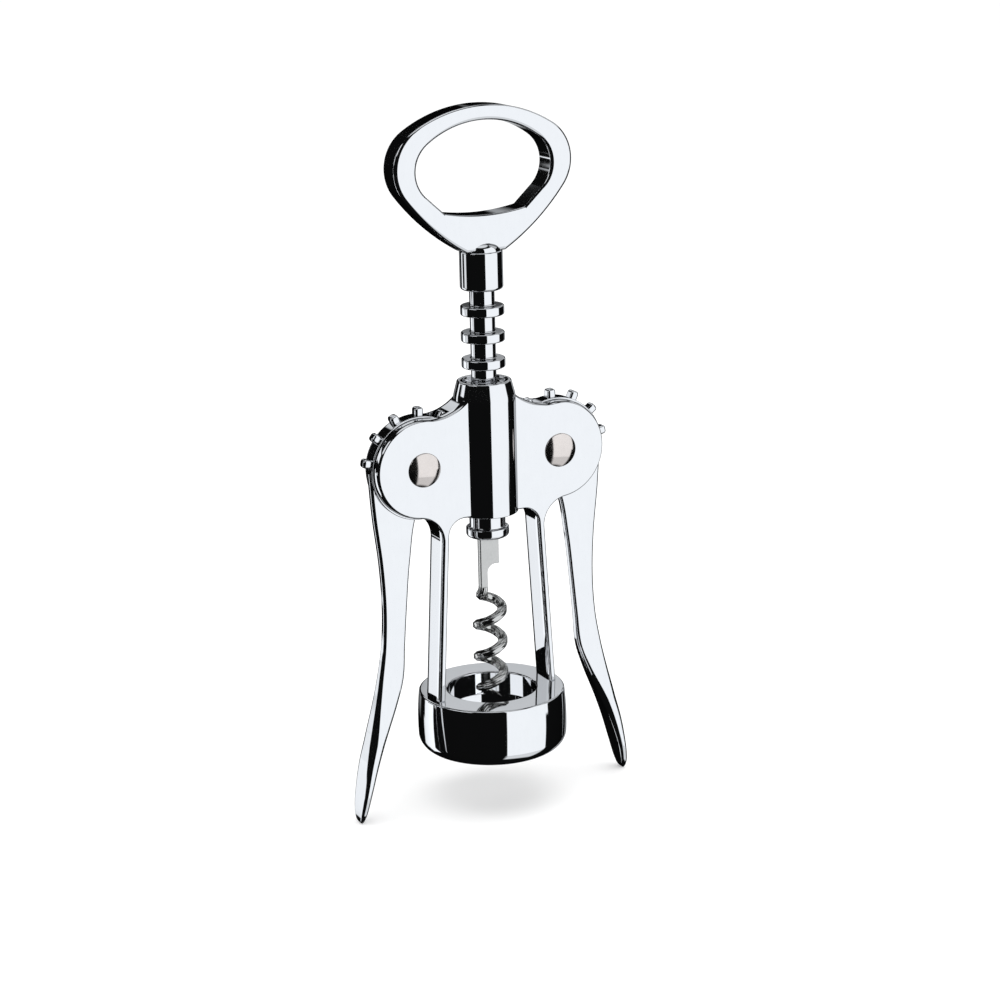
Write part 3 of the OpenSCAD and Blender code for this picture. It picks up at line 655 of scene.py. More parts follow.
def half_frame(s):
    """Right half of the frame: the cheeks' and the strap's outline, carried through the depth with
    rounded edges, and open between the cheeks where the gear turns."""
    pivot = np.array([s.pivot_x, 0.0])
    strap_foot = s.pivot_z - bpy.context.scene.corkscrew_collar.height
    lean = np.arctan((s.gap_foot - s.gap_top) / (strap_foot - s.drop))
    slope = np.tan(lean)

    def gap(depth):
        return s.gap_top + slope * (depth - s.drop)

    shoulder = np.array([s.shoulder_x, 0.0])
    shoulder[1] = np.sqrt((s.cheek_r + s.shoulder_r) ** 2 - (s.pivot_x - shoulder[0]) ** 2)
    offset = gap(0) + s.strap_t + s.root_r / np.cos(lean) - s.pivot_x
    a, b, c = 1 + slope**2, 2 * slope * offset, offset**2 - (s.cheek_r + s.root_r) ** 2
    depth = (-b + np.sqrt(b * b - 4 * a * c)) / (2 * a)
    root = np.array([s.pivot_x + offset + slope * depth, -depth])
    arch_depth = s.drop + s.arch_r
    arch = np.array([gap(arch_depth) - s.arch_r / np.cos(lean), -arch_depth])
    foot = strap_foot + s.foot_sink

    def crossing(centre, radius, side):
        """Angles at centre and at the pivot where the two circles cross."""
        d = centre - pivot
        reach = np.linalg.norm(d)
        toward = bearing(pivot, centre)
        here = np.arccos((reach**2 + radius**2 - s.pocket_r**2) / (2 * reach * radius))
        there = np.arccos((reach**2 + s.pocket_r**2 - radius**2) / (2 * reach * s.pocket_r))
        return toward + np.pi + side * here, toward - side * there

    shoulder_in = bearing(pivot, shoulder)
    shoulder_cross, pocket_up = crossing(shoulder, s.shoulder_r, -1)
    root_in = bearing(pivot, root)
    root_cross, pocket_low = crossing(root, s.root_r, 1)
    cut = s.buried_x
    cut_z = np.sqrt(s.pocket_r**2 - (s.pivot_x - cut) ** 2)
    shoulder_end, shoulder_cut = (
        np.pi + np.arccos((shoulder[0] - x) / s.shoulder_r) for x in (cut + s.edge_r, cut)
    )
    top = np.array([cut, shoulder[1] + s.shoulder_r * np.sin(shoulder_cut)])
    arch_end = arch + s.arch_r * np.array([np.cos(lean), np.sin(lean)])
    root_start = root - s.root_r * np.array([np.cos(lean), np.sin(lean)])
    inner_foot, outer_foot = [gap(foot), -foot], [gap(foot) + s.strap_t, -foot]
    spans = [
        path(
            arc_run(root, s.root_r, root_cross, root_in + np.pi, 14, True),
            arc_run(pivot, s.cheek_r, root_in, shoulder_in, 90),
            arc_run(shoulder, s.shoulder_r, shoulder_in + np.pi, shoulder_cross, 14, True),
        ),
        path(
            arc_run(shoulder, s.shoulder_r, shoulder_cross, shoulder_end, 14, True),
            (top[None], -unit(top - shoulder)[None]), line_run(top, [cut, cut_z]),
        ),
        line_run([cut, cut_z], [cut, -cut_z]),
        path(
            line_run([cut, -cut_z], [cut, -s.drop]),
            line_run([cut, -s.drop], [arch[0], -s.drop]),
            arc_run(arch, s.arch_r, np.pi / 2, lean, 14, True),
            line_run(arch_end, inner_foot, 24),
            line_run(inner_foot, outer_foot),
            line_run(outer_foot, root_start, 24),
            arc_run(root, s.root_r, np.pi + lean, root_cross, 14, True),
        ),
    ]
    points, normals = path(*spans)
    shift = insets(points, normals)
    # the edge buried in the tube stays put, and its ends slide along it with the rounding
    buried = np.abs(points[:, 0] - cut) < WELD
    outer_end = buried & (np.abs(normals[:, 1]) > 0.1)
    shift[buried] = 0
    shift[outer_end, 1] = 1 / normals[outer_end, 1]
    for step in (1, -1):
        beside = buried & ~outer_end & np.roll(outer_end, step)
        shift[beside] = np.roll(shift, step, 0)[beside]
    shell = Shell()
    edges = edge_steps(s.half_depth, s.edge_r, s.edge_d, 12)
    edges = [np.append(row, last) for row, last in zip(edges, (-s.half_slot, 0, 1, 0))]
    grid, shade = carried(points, normals, shift, *edges)
    both_faces(shell, grid, shade)
    for sign in (1, -1):
        shell.cap(grid[0] * [1, sign, 1], (0, -sign, 0))
    across_slot = np.array([-s.half_slot, s.half_slot])
    flat = (np.zeros(2), np.ones(2), np.zeros(2))
    for p, n in (spans[1], spans[3]):
        shell.grid(*carried(p, n, n, across_slot, *flat))
    half_turn = np.arcsin(cut_z / s.pocket_r)
    pocket = [
        arc_run(pivot, s.pocket_r, pocket_up, np.pi - half_turn, 16, True),
        arc_run(pivot, s.pocket_r, np.pi + half_turn, pocket_low + 2 * np.pi, 24, True),
    ]
    for p, n in pocket:
        shell.grid(*carried(p, n, n, across_slot, *flat))
    inside = np.concatenate([spans[0][0], pocket[0][0], spans[2][0], pocket[1][0]])
    for sign in (1, -1):
        ring = np.stack([inside[:, 0], np.full(len(inside), -sign * s.half_slot), inside[:, 1]], -1)
        shell.cap(ring, (0, sign, 0))
    return shell


def tube(s):
    """Guide tube: a closed path (r, h) turned about the axis as (r cos a, r sin a, h). Its columns
    keep to the planes of the slot's two sides, a = arcsin(half slot / r), so that the windows for
    the pegs have straight sides. The windows end above and below on the gears' round room."""
    # columns over a window and over the wall between the windows, and rows up a window's side
    side, mid, rows = 8, 40, 7
    run, reach = s.taper - s.rim_r, s.tube_r - s.rim_x + s.rim_r
    lean = np.arctan2(reach, run) - np.arcsin(s.rim_r / np.hypot(reach, run))
    rim = s.tube_r - s.taper * np.tan(lean)
    corner = 7  # points on each of the path's corners
    p, n = rounded([
        (s.bore_r, -s.drop, s.end_r), (s.tube_r, -s.drop, s.end_r),
        (s.tube_r, s.rise - s.taper, s.taper_r), (rim, s.rise, s.rim_r),
        (s.bore_r, s.rise, s.mouth_r),
    ], corner - 1)
    out, up = np.array([1.0, 0.0]), np.linspace(-1, 1, rows)
    outer = (np.tile([s.tube_r, 0.0], (rows, 1)), np.tile(out, (rows, 1)))
    inner = (np.tile([s.bore_r, 0.0], (rows, 1)), np.tile(-out, (rows, 1)))
    first = 2 * corner
    p, n = path((p[:first], n[:first]), outer, (p[first:], n[first:]), inner)
    last = len(p) - rows
    half = np.arcsin(s.half_slot / p[:, :1])
    window, wall = np.arange(side) / side, np.arange(mid) / mid
    a = np.concatenate([
        half * (2 * window - 1), half + (np.pi - 2 * half) * wall,
        np.pi + half * (2 * window - 1), np.pi + half + (np.pi - 2 * half) * wall,
    ], 1)
    near = np.minimum(np.abs(np.arcsin(np.sin(a))), half)
    high = np.sqrt(np.maximum(s.pocket_r**2 - (s.pivot_x - p[:, :1] * np.cos(near)) ** 2, 0))
    z = np.repeat(p[:, 1:], a.shape[1], 1)
    z[first:first + rows] = high[first:first + rows] * up[:, None]
    z[last:] = -high[last:] * up[:, None]
    turn = np.stack([np.cos(a), np.sin(a)], -1)
    points = np.concatenate([p[:, :1, None] * turn, (z + s.pivot_z)[..., None]], -1)
    normals = np.concatenate([n[:, :1, None] * turn, np.repeat(n[:, 1:, None], a.shape[1], 1)], -1)
    keep = np.ones(a.shape, bool)
    for column in (0, side + mid):
        for row in (first, last):
            keep[row:row + rows - 1, column:column + side] = False
    shell = Shell()
    shell.grid(points, normals, wrap_u=True, wrap_v=True, keep=keep)
    pivot = np.array([s.pivot_x, 0, s.pivot_z])
    outside, inside = points[first:first + rows], points[last:][::-1]
    for column, hand in ((0, 1), (side + mid, -1)):
        across = slice(column, column + side + 1)
        for row in (0, -1):
            edge = np.stack([outside[row, across], inside[row, across]])
            shell.grid(edge, (pivot * [hand, 1, 1] - edge) * [1, 0, 1])
        for end in (column, column + side):
            edge = np.stack([outside[:, end], inside[:, end]])
            shell.grid(edge, (0, -np.sign(edge[0, 0, 1]), 0))
    return shell


def collar(s):
    """Collar: a closed path turned about the axis. Its side is an arc that bulges, its foot and its
    upper edge are arcs that touch it, and inside lie the socket and, above it, the hole."""
    bulge = np.array([s.radius - s.side_r, s.bulge_z])

    def touching(radius, z):
        """Centre of an arc inside the side's, and the angle at which the two touch."""
        d = z - s.bulge_z
        x = np.sqrt((s.side_r - radius) ** 2 - d**2)
        return bulge + [x, d], np.arctan2(d, x)

    corner = 7  # points on each of the inner path's corners
    foot, low = touching(s.foot_r, s.foot_r)
    edge, high = touching(s.edge_r, s.height - s.edge_r)
    inner, shade = rounded([
        (s.hole_r, s.height, s.hole_edge), (s.hole_r, s.socket_z, s.step_edge),
        (s.socket_r, s.socket_z, s.socket_edge), (s.socket_r, 0, s.mouth_edge),
        (s.radius, 0, 0), (s.radius, s.height, 0),
    ], corner - 1)
    inside = slice(0, 4 * corner)
    return revolve(*path(
        arc_run(foot, s.foot_r, -np.pi / 2, low, 14), arc_run(bulge, s.side_r, low, high, 24),
        arc_run(edge, s.edge_r, high, np.pi / 2, 6), (inner[inside], shade[inside]),
    ), steps=180)


LEVER_ROWS = (
    # millimetres below the pivot, and from it to the inner and outer edge; share of paddle's width
    (0, -6, 14.2, 0),
    (12, 0.8, 13.4, 0),
    (25, 3.3, 12, 0),
    (37, 4.6, 11.5, 0),
    (48, 5.6, 12.1, 0.04),
    (57, 6.4, 13.6, 0.16),
    (64, 8.7, 15.1, 0.42),
    (72, 12.1, 17, 0.82),
    (80, 15.3, 18.8, 1),
    (88, 17.8, 20.1, 0.94),
    (93, 19, 20.8, 0.62),
    (95.3, 19.6, 20.8, 0.22),
    (96, 20, 20.5, 0),
)


def lever_arm(s):
    """Arm and paddle, about the pivot: a rounded rectangle at each depth, with its edges and its
    width from the table. The normal is the section's own, tilted by how fast the section moves
    with depth."""
    end = LEVER_ROWS[-1][0]
    tip, steps = 3, 6
    closing = end - tip * np.cos(np.linspace(0, np.pi / 2, 16))
    depth = np.minimum(np.concatenate([np.linspace(0, end - tip, 94)[:-1], closing]), end)

    def section(d):
        x0, x1, wide = through(LEVER_ROWS, d).T
        x0, x1 = x0 * MM, x1 * MM
        # the rounding stays within the section
        h = s.arm_t / 2 + wide * (s.paddle_w - s.arm_t) / 2
        r = np.minimum.reduce([h * 0.9, (x1 - x0) * 0.45, s.arm_r + wide * (s.paddle_r - s.arm_r)])
        r = np.maximum(r, 0.05 * MM)
        a = np.linspace(0, np.pi / 2, steps + 1)
        turn = np.concatenate([a + np.pi / 2 * k for k in range(4)])
        right = np.repeat([1, 0, 0, 1], steps + 1)
        back = np.repeat([1, 1, -1, -1], steps + 1)
        cx = np.where(right, (x1 - r)[:, None], (x0 + r)[:, None])
        cy = back * (h - r)[:, None]
        n = np.stack([np.cos(turn), np.sin(turn)], 1)
        return np.stack([cx, cy], -1) + r[:, None, None] * n, n

    at, n = section(depth)
    nudge = 0.01
    below, above = np.minimum(depth + nudge, end), np.maximum(depth - nudge, 0)
    run = (below - above) * MM
    drift = (section(below)[0] - section(above)[0]) / run[:, None, None]
    tilt = np.sum(drift * n, -1)
    z = np.broadcast_to(-depth[:, None, None] * MM, at.shape[:2] + (1,))
    points = np.concatenate([at, z], -1)
    normals = np.concatenate([np.broadcast_to(n, at.shape), tilt[..., None]], -1)
    shell = Shell()
    shell.grid(points, normals, wrap_v=True)
    shell.cap(points[0], (0, 0, 1))
    shell.cap(points[-1], (0, 0, -1))
    return shell


def gear(s):
    """Gear disc about the pivot, its hole lined, with the pegs set round its rim."""
    h = s.gear_t / 2
    disc = revolve(*rounded([
        (s.bore_r, -h, s.bore_edge), (s.root_r, -h, s.gear_edge),
        (s.root_r, h, s.gear_edge), (s.bore_r, h, s.bore_edge),
    ], 4), steps=144)
    shell = Shell().join(disc, ALONG_Y)
    long = s.tip_r - s.root_r + s.peg_sink
    peg = block((s.peg_w / 2, s.peg_d / 2, long / 2), s.peg_r)
    for k in range(s.pegs):
        turn = turn_y(s.phase + s.pitch * (k - 1) - np.pi / 2)
        shell.join(peg, turn, turn @ [0, 0, s.tip_r - long / 2])
    return shell


def rivet(s, half_depth):
    """Rivet along Y: a shank between two domed heads. A head is a flat dome whose edge turns down
    to the cheek in an arc: with t the dome's tilt where the two touch, it is (head radius - lip (1
    - sin t)) tan(t / 2) + lip cos t high."""
    tilts = np.linspace(0.05, 0.8, 400)
    highs = (s.head_r - s.lip_r * (1 - np.sin(tilts))) * np.tan(tilts / 2) + s.lip_r * np.cos(tilts)
    tilt = np.interp(s.dome, highs, tilts)
    r = (s.head_r - s.lip_r * (1 - np.sin(tilt))) / np.sin(tilt)
    under = np.array([[s.head_r, half_depth], [s.shank_r, half_depth]]), np.array([[0, -1]] * 2)
    p, n = path(
        arc_run((0, half_depth + s.dome - r), r, np.pi / 2, np.pi / 2 - tilt, 16),
        arc_run((s.head_r - s.lip_r, half_depth), s.lip_r, np.pi / 2 - tilt, 0, 8), under,
    )
    both = [np.concatenate([q, (q * [1, -1])[::-1]]) for q in (p, n)]
    return revolve(*both, 96)


def rack(s):
    """Rack: rings on a shaft, one path turned about the axis, with the core's hole through it."""
    corners = []
    for k in range(s.rings - 1, -1, -1):
        z = s.top_ring - k * s.pitch
        corners += [
            (s.shaft_r, z, s.groove_r), (s.ring_r, z, s.edge_r),
            (s.ring_r, z + s.ring_t, s.edge_r), (s.shaft_r, z + s.ring_t, s.groove_r),
        ]
    top = s.barrel_z - s.play
    return revolve(*rounded([
        (s.core_r, s.foot_z, 0), (s.shaft_r, s.foot_z, s.foot_r), *corners,
        (s.shaft_r, top, 0), (s.core_r, top, 0),
    ]), steps=144)


def ring_grip(s):
    """Ring of the handle. Outline and hole are chains of arcs that touch each other, matched point
    by point; both are carried through the thickness with round edges, and flat faces join them."""
    top = s.barrel_z + s.barrel_l + s.grip_h
    neck = np.array([s.barrel_r - s.neck_in, s.barrel_z + s.barrel_l])
    crown = np.array([0, top - s.crown_r])
    side = np.array([0, top - s.side_drop])
    side[0] = np.sqrt((s.crown_r - s.side_r) ** 2 - (side[1] - crown[1]) ** 2)
    reach = np.linalg.norm(neck - side)
    spare = s.flank_r - s.side_r
    swing = np.arccos((reach**2 + spare**2 - s.flank_r**2) / (2 * reach * spare))
    aim = bearing(side, neck) - swing
    flank = side + spare * np.array([np.cos(aim), np.sin(aim)])
    crown_end, flank_start = bearing(crown, side), bearing(flank, side)
    flank_end = bearing(flank, neck)
    # steps over crown, side, flank and neck, and over the hole's four parts
    n = (36, 48, 40, 24)
    # under the neck the first step is wide, so that the rounded corner doesn't fold
    under = np.append(0, np.linspace(0.18, 1, n[3]))
    outer = path(
        arc_run(crown, s.crown_r, np.pi / 2, crown_end, n[0]),
        arc_run(side, s.side_r, crown_end, flank_start, n[1]),
        arc_run(flank, s.flank_r, flank_start, flank_end, n[2]),
        (neck * np.stack([1 - under, np.ones(n[3] + 1)], 1), np.tile([0.0, -1.0], (n[3] + 1, 1))),
    )
    hole_top = top - s.band_t
    hole_crown = np.array([0, hole_top - s.hole_crown_r])
    hole_side = np.array([0, hole_top - s.hole_side_drop])
    hole_side[0] = np.sqrt(
        (s.hole_crown_r - s.hole_side_r) ** 2 - (hole_side[1] - hole_crown[1]) ** 2
    )
    hole_end = bearing(hole_crown, hole_side)
    lip = np.array([0, hole_top - s.lip_drop + s.lip_r])
    lip_turn = np.arcsin(s.lip_half / s.lip_r)
    lip_end = lip + s.lip_r * np.array([np.sin(lip_turn), -np.cos(lip_turn)])
    far = hole_side - lip_end
    straight = np.arctan2(far[1], far[0]) - np.arcsin(s.hole_side_r / np.linalg.norm(far))
    foot = hole_side + s.hole_side_r * np.array([np.sin(straight), -np.cos(straight)])
    line = line_run(foot, lip_end, n[2])
    inner = path(
        arc_run(hole_crown, s.hole_crown_r, np.pi / 2, hole_end, n[0], True),
        arc_run(hole_side, s.hole_side_r, hole_end, straight - np.pi / 2, n[1], True),
        (line[0], -unit(foot - hole_side) * np.ones((n[2] + 1, 1))),
        arc_run(lip, s.lip_r, lip_turn - np.pi / 2, -np.pi / 2, n[3], True),
    )
    shell = Shell()
    edges = edge_steps(s.grip_t / 2, s.grip_r, s.grip_d, 12)
    rims = []
    for p, m in (outer, inner):
        p, m = (np.concatenate([q, (q * [-1, 1])[::-1]]) for q in (p, m))
        grid, shade = carried(p, m, insets(p, m), *edges)
        both_faces(shell, grid, shade)
        shell.grid(np.stack([grid[-1], grid[-1] * [1, -1, 1]]), shade[-1][None], wrap_v=True)
        rims.append(grid[0])
    for sign in (1, -1):
        shell.grid(np.stack(rims) * [1, sign, 1], (0, -sign, 0), wrap_v=True)
    return shell


def barrel(s):
    """Barrel under the ring, and on it half an ellipsoid that runs up into the ring's neck: radius
    R cos a at height H sin a, for a quarter turn."""
    z, top = s.barrel_z, s.barrel_z + s.barrel_l
    corner = 9  # points on each of the side's corners
    side, shade = rounded(
        [(0, z, 0), (s.barrel_r, z, s.barrel_foot), (s.barrel_r, top, s.barrel_edge), (0, top, 0)],
        corner - 1,
    )
    below = slice(0, 3 * corner)
    around, out = arc_run((0, 0), 1, 0, np.pi / 2, 24)
    dome = around * [s.dome_r, s.dome] + [0, top], unit(out * [s.dome, s.dome_r])
    foot = np.array([[s.dome_r, top]]), np.array([[0.0, 1.0]])
    return revolve(*path((side[below], shade[below]), foot, dome), steps=144)


def seat(s):
    """Height of the flange's lower face."""
    return s.top_z - s.head_l - s.flange_t


def worm_head(s):
    """End of the spindle: a round flange below a neck, with a hollow curve between them."""
    low, high = seat(s), s.top_z - s.head_l
    return revolve(*rounded([
        (0, low, 0), (s.flange_r, low, s.flange_low), (s.flange_r, high, s.flange_top),
        (s.head_r, high, s.neck_r), (s.head_r, s.top_z, s.head_edge), (0, s.top_z, 0),
    ], 8), steps=128)


def blade(s):
    """Flat blade with its notch and stem, carried through its thickness."""
    top, foot = seat(s) + s.blade_sink, seat(s) - s.blade_l
    left, right = -s.blade_w / 2, s.blade_w / 2
    stem = left + s.stem_w
    end = foot - s.stem_l
    notch = np.array([stem + s.notch_r, foot - s.notch_r])
    points, normals = path(
        line_run((right, foot), (right, top), 8),
        line_run((right, top), (left, top)),
        line_run((left, top), (left, end), 12),
        line_run((left, end), (stem, end)),
        line_run((stem, end), (stem, notch[1]), 4),
        arc_run(notch, s.notch_r, np.pi, np.pi / 2, 10, True),
        line_run((notch[0], foot), (right, foot)),
    )
    shell = Shell()
    edges = edge_steps(s.blade_t / 2, s.blade_edge, s.blade_deep, 6)
    grid, shade = carried(points, normals, insets(points, normals), *edges)
    both_faces(shell, grid, shade, tag=1)
    shell.grid(np.stack([grid[-1], grid[-1] * [1, -1, 1]]), shade[-1][None], wrap_v=True, tag=1)
    for sign in (1, -1):
        shell.cap(grid[0] * [1, sign, 1], (0, -sign, 0))
    return shell


def wire(s):
    """Worm: a fluted round carried along a right-hand helix (-R cos b, R sin b, height), where b
    is the turn made so far: u^2 / (2 bend) while u, the fall over the pitch, is less than the
    bend, and u - bend / 2 after it. It starts under the stem and is drawn over to the helix while
    u is less than ease. The round is wire (1 - flute (1 + cos(k a)) / 2) thick, and thins to a
    point at the end."""
    stem = (s.blade_w - s.stem_w) / 2
    bend, ease, point = 0.3, 0.6, 0.6
    foot = seat(s) - s.blade_l - s.stem_l
    top = foot + s.pitch * bend / 2
    turns = (top - s.point_z) / s.pitch
    per_turn, around = 90, 56
    u = np.linspace(0, turns, int(turns * per_turn))

    def centre(u):
        b = 2 * np.pi * np.where(u < bend, u**2 / (2 * bend), u - bend / 2)
        drawn = (1 - np.cos(np.pi * np.clip(u / ease, 0, 1))) / 2
        x = -stem * (1 - drawn) - s.helix_r * drawn * np.cos(b)
        return np.stack([x, s.helix_r * drawn * np.sin(b), top - s.pitch * u], -1)

    step = 0.002
    c, d = centre(u), unit(centre(u + step) - centre(np.maximum(u - step, 0)))
    out = unit(c * [1, 1, 0])
    across = unit(out - np.sum(out * d, -1, keepdims=True) * d)
    up = np.cross(d, across)
    a = np.linspace(0, 2 * np.pi, around, endpoint=False)
    flutes, deep, blunt = 7, 0.09, 0.06
    shape = 1 - deep * (1 + np.cos(flutes * a)) / 2
    slope = deep * flutes * np.sin(flutes * a) / 2
    cos, sin = np.cos(a)[None, :, None], np.sin(a)[None, :, None]
    e_r = across[:, None] * cos + up[:, None] * sin
    e_a = up[:, None] * cos - across[:, None] * sin
    r = s.wire_r * np.clip((turns - u) / point, blunt, 1)
    points = c[:, None] + (r[:, None] * shape)[..., None] * e_r
    shell = Shell()
    shell.grid(points, shape[:, None] * e_r - slope[:, None] * e_a, wrap_v=True)
    shell.cap(points[0], -d[0])
    shell.cap(points[-1], d[-1])
    return shell


# Stage ----------------------------------------------------------------------


PANEL_SOCKETS = (
    "Azimuth", "Elevation", "Left", "Right", "Low", "High", "Edge", "Brightness", "Others",
)
SURROUNDINGS = (
    # what the polish mirrors: azimuth from, to, elevation from, to, soft edge, brightness
    (-4, 64, -32, 50, 1, 1.0),
    (-4, 69, -15, 50, 1, 1.0),
    (-4, 64, -58, -30, 6, 0.72),
    (-154.1, -129.5, -40, -11, 0.6, 1.2),
    (-157.5, -150, -31, -18.5, 0.8, 1.15),
    (-152, -142, -12, -9, 0.6, 1.1),
    (-126.5, -112, -13, -9, 1, 0.8),
    (-151, -142, -9.5, 13, 0.8, 1.1),
    (-152, -110, 6, 20, 1.5, 0.95),
    (72, 118, 22, 60, 4, 0.5),
    (120, 132, -40, 32, 1, 0.8),
    (134, 158, -40, -4, 3, 0.85),
    (139, 156, 11.5, 42, 1.5, 0.85),
    (160, 186, 26.5, 50, 1.5, 0.85),
    (172, 188, -19, 5, 2, 0.45),
    (-105, -60, 24, 48, 3, 0.8),
    (-200, 200, 66, 95, 5, 0.75),
)


def soft_panel():
    """Mask of one pale panel: along each axis 0.5 + (half size - distance from its middle) / soft
    edge, kept from 0 to 1. The distance in azimuth is the short way round."""
    tree, given, out = new_group(
        "soft_panel",
        [(label, 0.0, -400, 400) for label in PANEL_SOCKETS[:6]]
        + [("Edge", 1.0, 0.01, 90), ("Brightness", 1.0, 0, 10), ("Others", 0.0, 0, 10)],
        ["Brightness"],
    )
    masks = []
    for where, low, high in (("Azimuth", "Left", "Right"), ("Elevation", "Low", "High")):
        a, b = given.outputs[low], given.outputs[high]
        middle = maths(tree, "MULTIPLY", maths(tree, "ADD", a, b), 0.5)
        half = maths(tree, "MULTIPLY", maths(tree, "SUBTRACT", b, a), 0.5)
        away = maths(tree, "SUBTRACT", given.outputs[where], middle)
        off = maths(tree, "ABSOLUTE", maths(tree, "WRAP", away, 180.0, -180.0))
        inside = maths(tree, "DIVIDE", maths(tree, "SUBTRACT", half, off), given.outputs["Edge"])
        masks.append(maths(tree, "ADD", inside, 0.5, clamp=True))
    lit = maths(tree, "MULTIPLY", maths(tree, "MULTIPLY", *masks), given.outputs["Brightness"])
    brightest = maths(tree, "MAXIMUM", lit, given.outputs["Others"])
    tree.links.new(brightest, out.inputs["Brightness"])
    return tree


def surroundings(scene):
    """Sky of a plain studio: white to the camera and to the floor, and to the polish a dark room
    with pale panels. Azimuth runs from the front to the right, and elevation from the horizon
    up."""
    world = bpy.data.worlds.new("studio")
    scene.world = world
    world.use_nodes = True
    tree = world.node_tree
    way = node(tree, "ShaderNodeTexCoord").outputs["Generated"]
    x, y, z = node(tree, "ShaderNodeSeparateXYZ", [(0, way)]).outputs
    turn = maths(tree, "ARCTAN2", x, maths(tree, "MULTIPLY", y, -1.0))
    azimuth = maths(tree, "DEGREES", turn)
    elevation = maths(tree, "DEGREES", maths(tree, "ARCSINE", z))
    panel = soft_panel()
    light = scene.corkscrew_stage.gloom
    for row in SURROUNDINGS:
        inputs = zip(PANEL_SOCKETS, (azimuth, elevation, *row, light))
        light = node(tree, "ShaderNodeGroup", inputs, node_tree=panel).outputs["Brightness"]
    tinted = node(
        tree, "ShaderNodeMix",
        [(0, 1.0), (6, (*scene.corkscrew_stage.panels, 1)), (7, light)],
        data_type="RGBA", blend_type="MULTIPLY",
    )
    ray = node(tree, "ShaderNodeLightPath")
    seen = node(
        tree, "ShaderNodeMix",
        [(0, ray.outputs["Is Glossy Ray"]), (6, (1, 1, 1, 1)), (7, tinted.outputs[2])],
        data_type="RGBA",
    )
    tree.links.new(seen.outputs[2], tree.nodes["Background"].inputs["Color"])


def set_camera(scene):
    """Camera on a sphere about its aim, turned about its line of sight by the roll."""
    s = scene.corkscrew_stage
    a, e, roll = s.azimuth, s.elevation, s.roll
    back = np.array([np.sin(a) * np.cos(e), -np.cos(a) * np.cos(e), np.sin(e)])
    right = np.array([np.cos(a), np.sin(a), 0])
    up = np.cross(back, right)
    side = np.cos(roll) * right + np.sin(roll) * up
    top = np.cos(roll) * up - np.sin(roll) * right
    spot = s.aim_side * right + [0, 0, s.aim_z] + s.distance * back
    camera = bpy.data.objects.new("camera", bpy.data.cameras.new("camera"))
    rows = np.stack([side, top, back, spot], 1).tolist()
    camera.matrix_world = Matrix([*rows, [0, 0, 0, 1]])
    camera.data.sensor_width = 36
    camera.data.lens = s.lens
    camera.data.clip_start, camera.data.clip_end = 0.01, 20
    scene.collection.objects.link(camera)
    scene.camera = camera


def lay_floor(scene):
    """Pale floor just below the object, left out of what the polish mirrors."""
    s = scene.corkscrew_stage
    low, size = min(CAD_BOX[0].z, 0) - s.floor_gap, s.floor_size
    corners = [(x * size, y * size, low) for x, y in ((-1, -1), (1, -1), (1, 1), (-1, 1))]
    mesh = bpy.data.meshes.new("floor")
    mesh.from_pydata(corners, [], [(0, 1, 2, 3)])
    floor = bpy.data.objects.new("floor", mesh)
    scene.collection.objects.link(floor)
    floor.visible_glossy = False
    material = bpy.data.materials.new("pale_floor")
    material.use_nodes = True
    shader = material.node_tree.nodes["Principled BSDF"]
    shader.inputs["Base Color"].default_value = (*s.floor, 1)
    shader.inputs["Roughness"].default_value = 1
    shader.inputs["Specular IOR Level"].default_value = 0
    shader.inputs["Emission Color"].default_value = (1, 1, 1, 1)
    shader.inputs["Emission Strength"].default_value = s.glow
    mesh.materials.append(material)


def hang_lamp(scene):
    """Square lamp overhead, left out of what the polish mirrors."""
    s = scene.corkscrew_stage
    lamp = bpy.data.lights.new("overhead", "AREA")
    lamp.energy, lamp.size = s.lamp_power, s.lamp_size
    light = bpy.data.objects.new("overhead", lamp)
    light.location = (0, -s.lamp_front, s.lamp_z)
    light.visible_glossy = False
    scene.collection.objects.link(light)


# Operators ------------------------------------------------------------------


class CORKSCREW_OT_frame(bpy.types.Operator):
    """Guide tube, cheeks and straps"""

    bl_idname = "corkscrew.frame"
    bl_label = "Frame"

    def execute(self, context):
        s = context.scene.corkscrew_frame
        chrome = finishes(context.scene)["polished_chrome"]
        lift = (0, 0, s.pivot_z)
        right = half_frame(s)
        both = Shell().join(right, shift=lift).join(right, MIRROR_X, lift)
        both.build("frame_sides", chrome, "frame", "chrome", ["frame_body"])
        tube(s).build("frame_tube", chrome, "frame", "chrome")
        return {"FINISHED"}


class CORKSCREW_OT_collar(bpy.types.Operator):
    """Collar with its socket"""

    bl_idname = "corkscrew.collar"
    bl_label = "Collar"

    def execute(self, context):
        chrome = finishes(context.scene)["polished_chrome"]
        collar(context.scene.corkscrew_collar).build(
            "collar_ring", chrome, "frame", "chrome", ["bottle_collar"]
        )
        return {"FINISHED"}


class CORKSCREW_OT_levers(bpy.types.Operator):
    """Levers with their gears, and the rivets they turn on"""

    bl_idname = "corkscrew.levers"
    bl_label = "Levers"

    def execute(self, context):
        scene = context.scene
        s, f = scene.corkscrew_lever, scene.corkscrew_frame
        found = finishes(scene)
        arm, wheel, pin = lever_arm(s), gear(s), rivet(s, f.half_depth)
        chrome = found["polished_chrome"]
        for side, hand in (("left", -1), ("right", 1)):
            turn = np.diag([float(hand), 1, 1])
            at = (hand * f.pivot_x, 0, f.pivot_z)
            body = f"{side}_lever"
            Shell().join(arm, turn, at).build(
                f"lever_arm_{side}", chrome, body, "chrome", [f"lever_{side}"]
            )
            Shell().join(wheel, turn, at).build(f"lever_gear_{side}", chrome, body, "chrome")
            Shell().join(pin, ALONG_Y, at).build(
                f"rivet_{side}", found["rivet_nickel"], "frame", "nickel", [f"pivot_rivet_{side}"]
            )
        return {"FINISHED"}


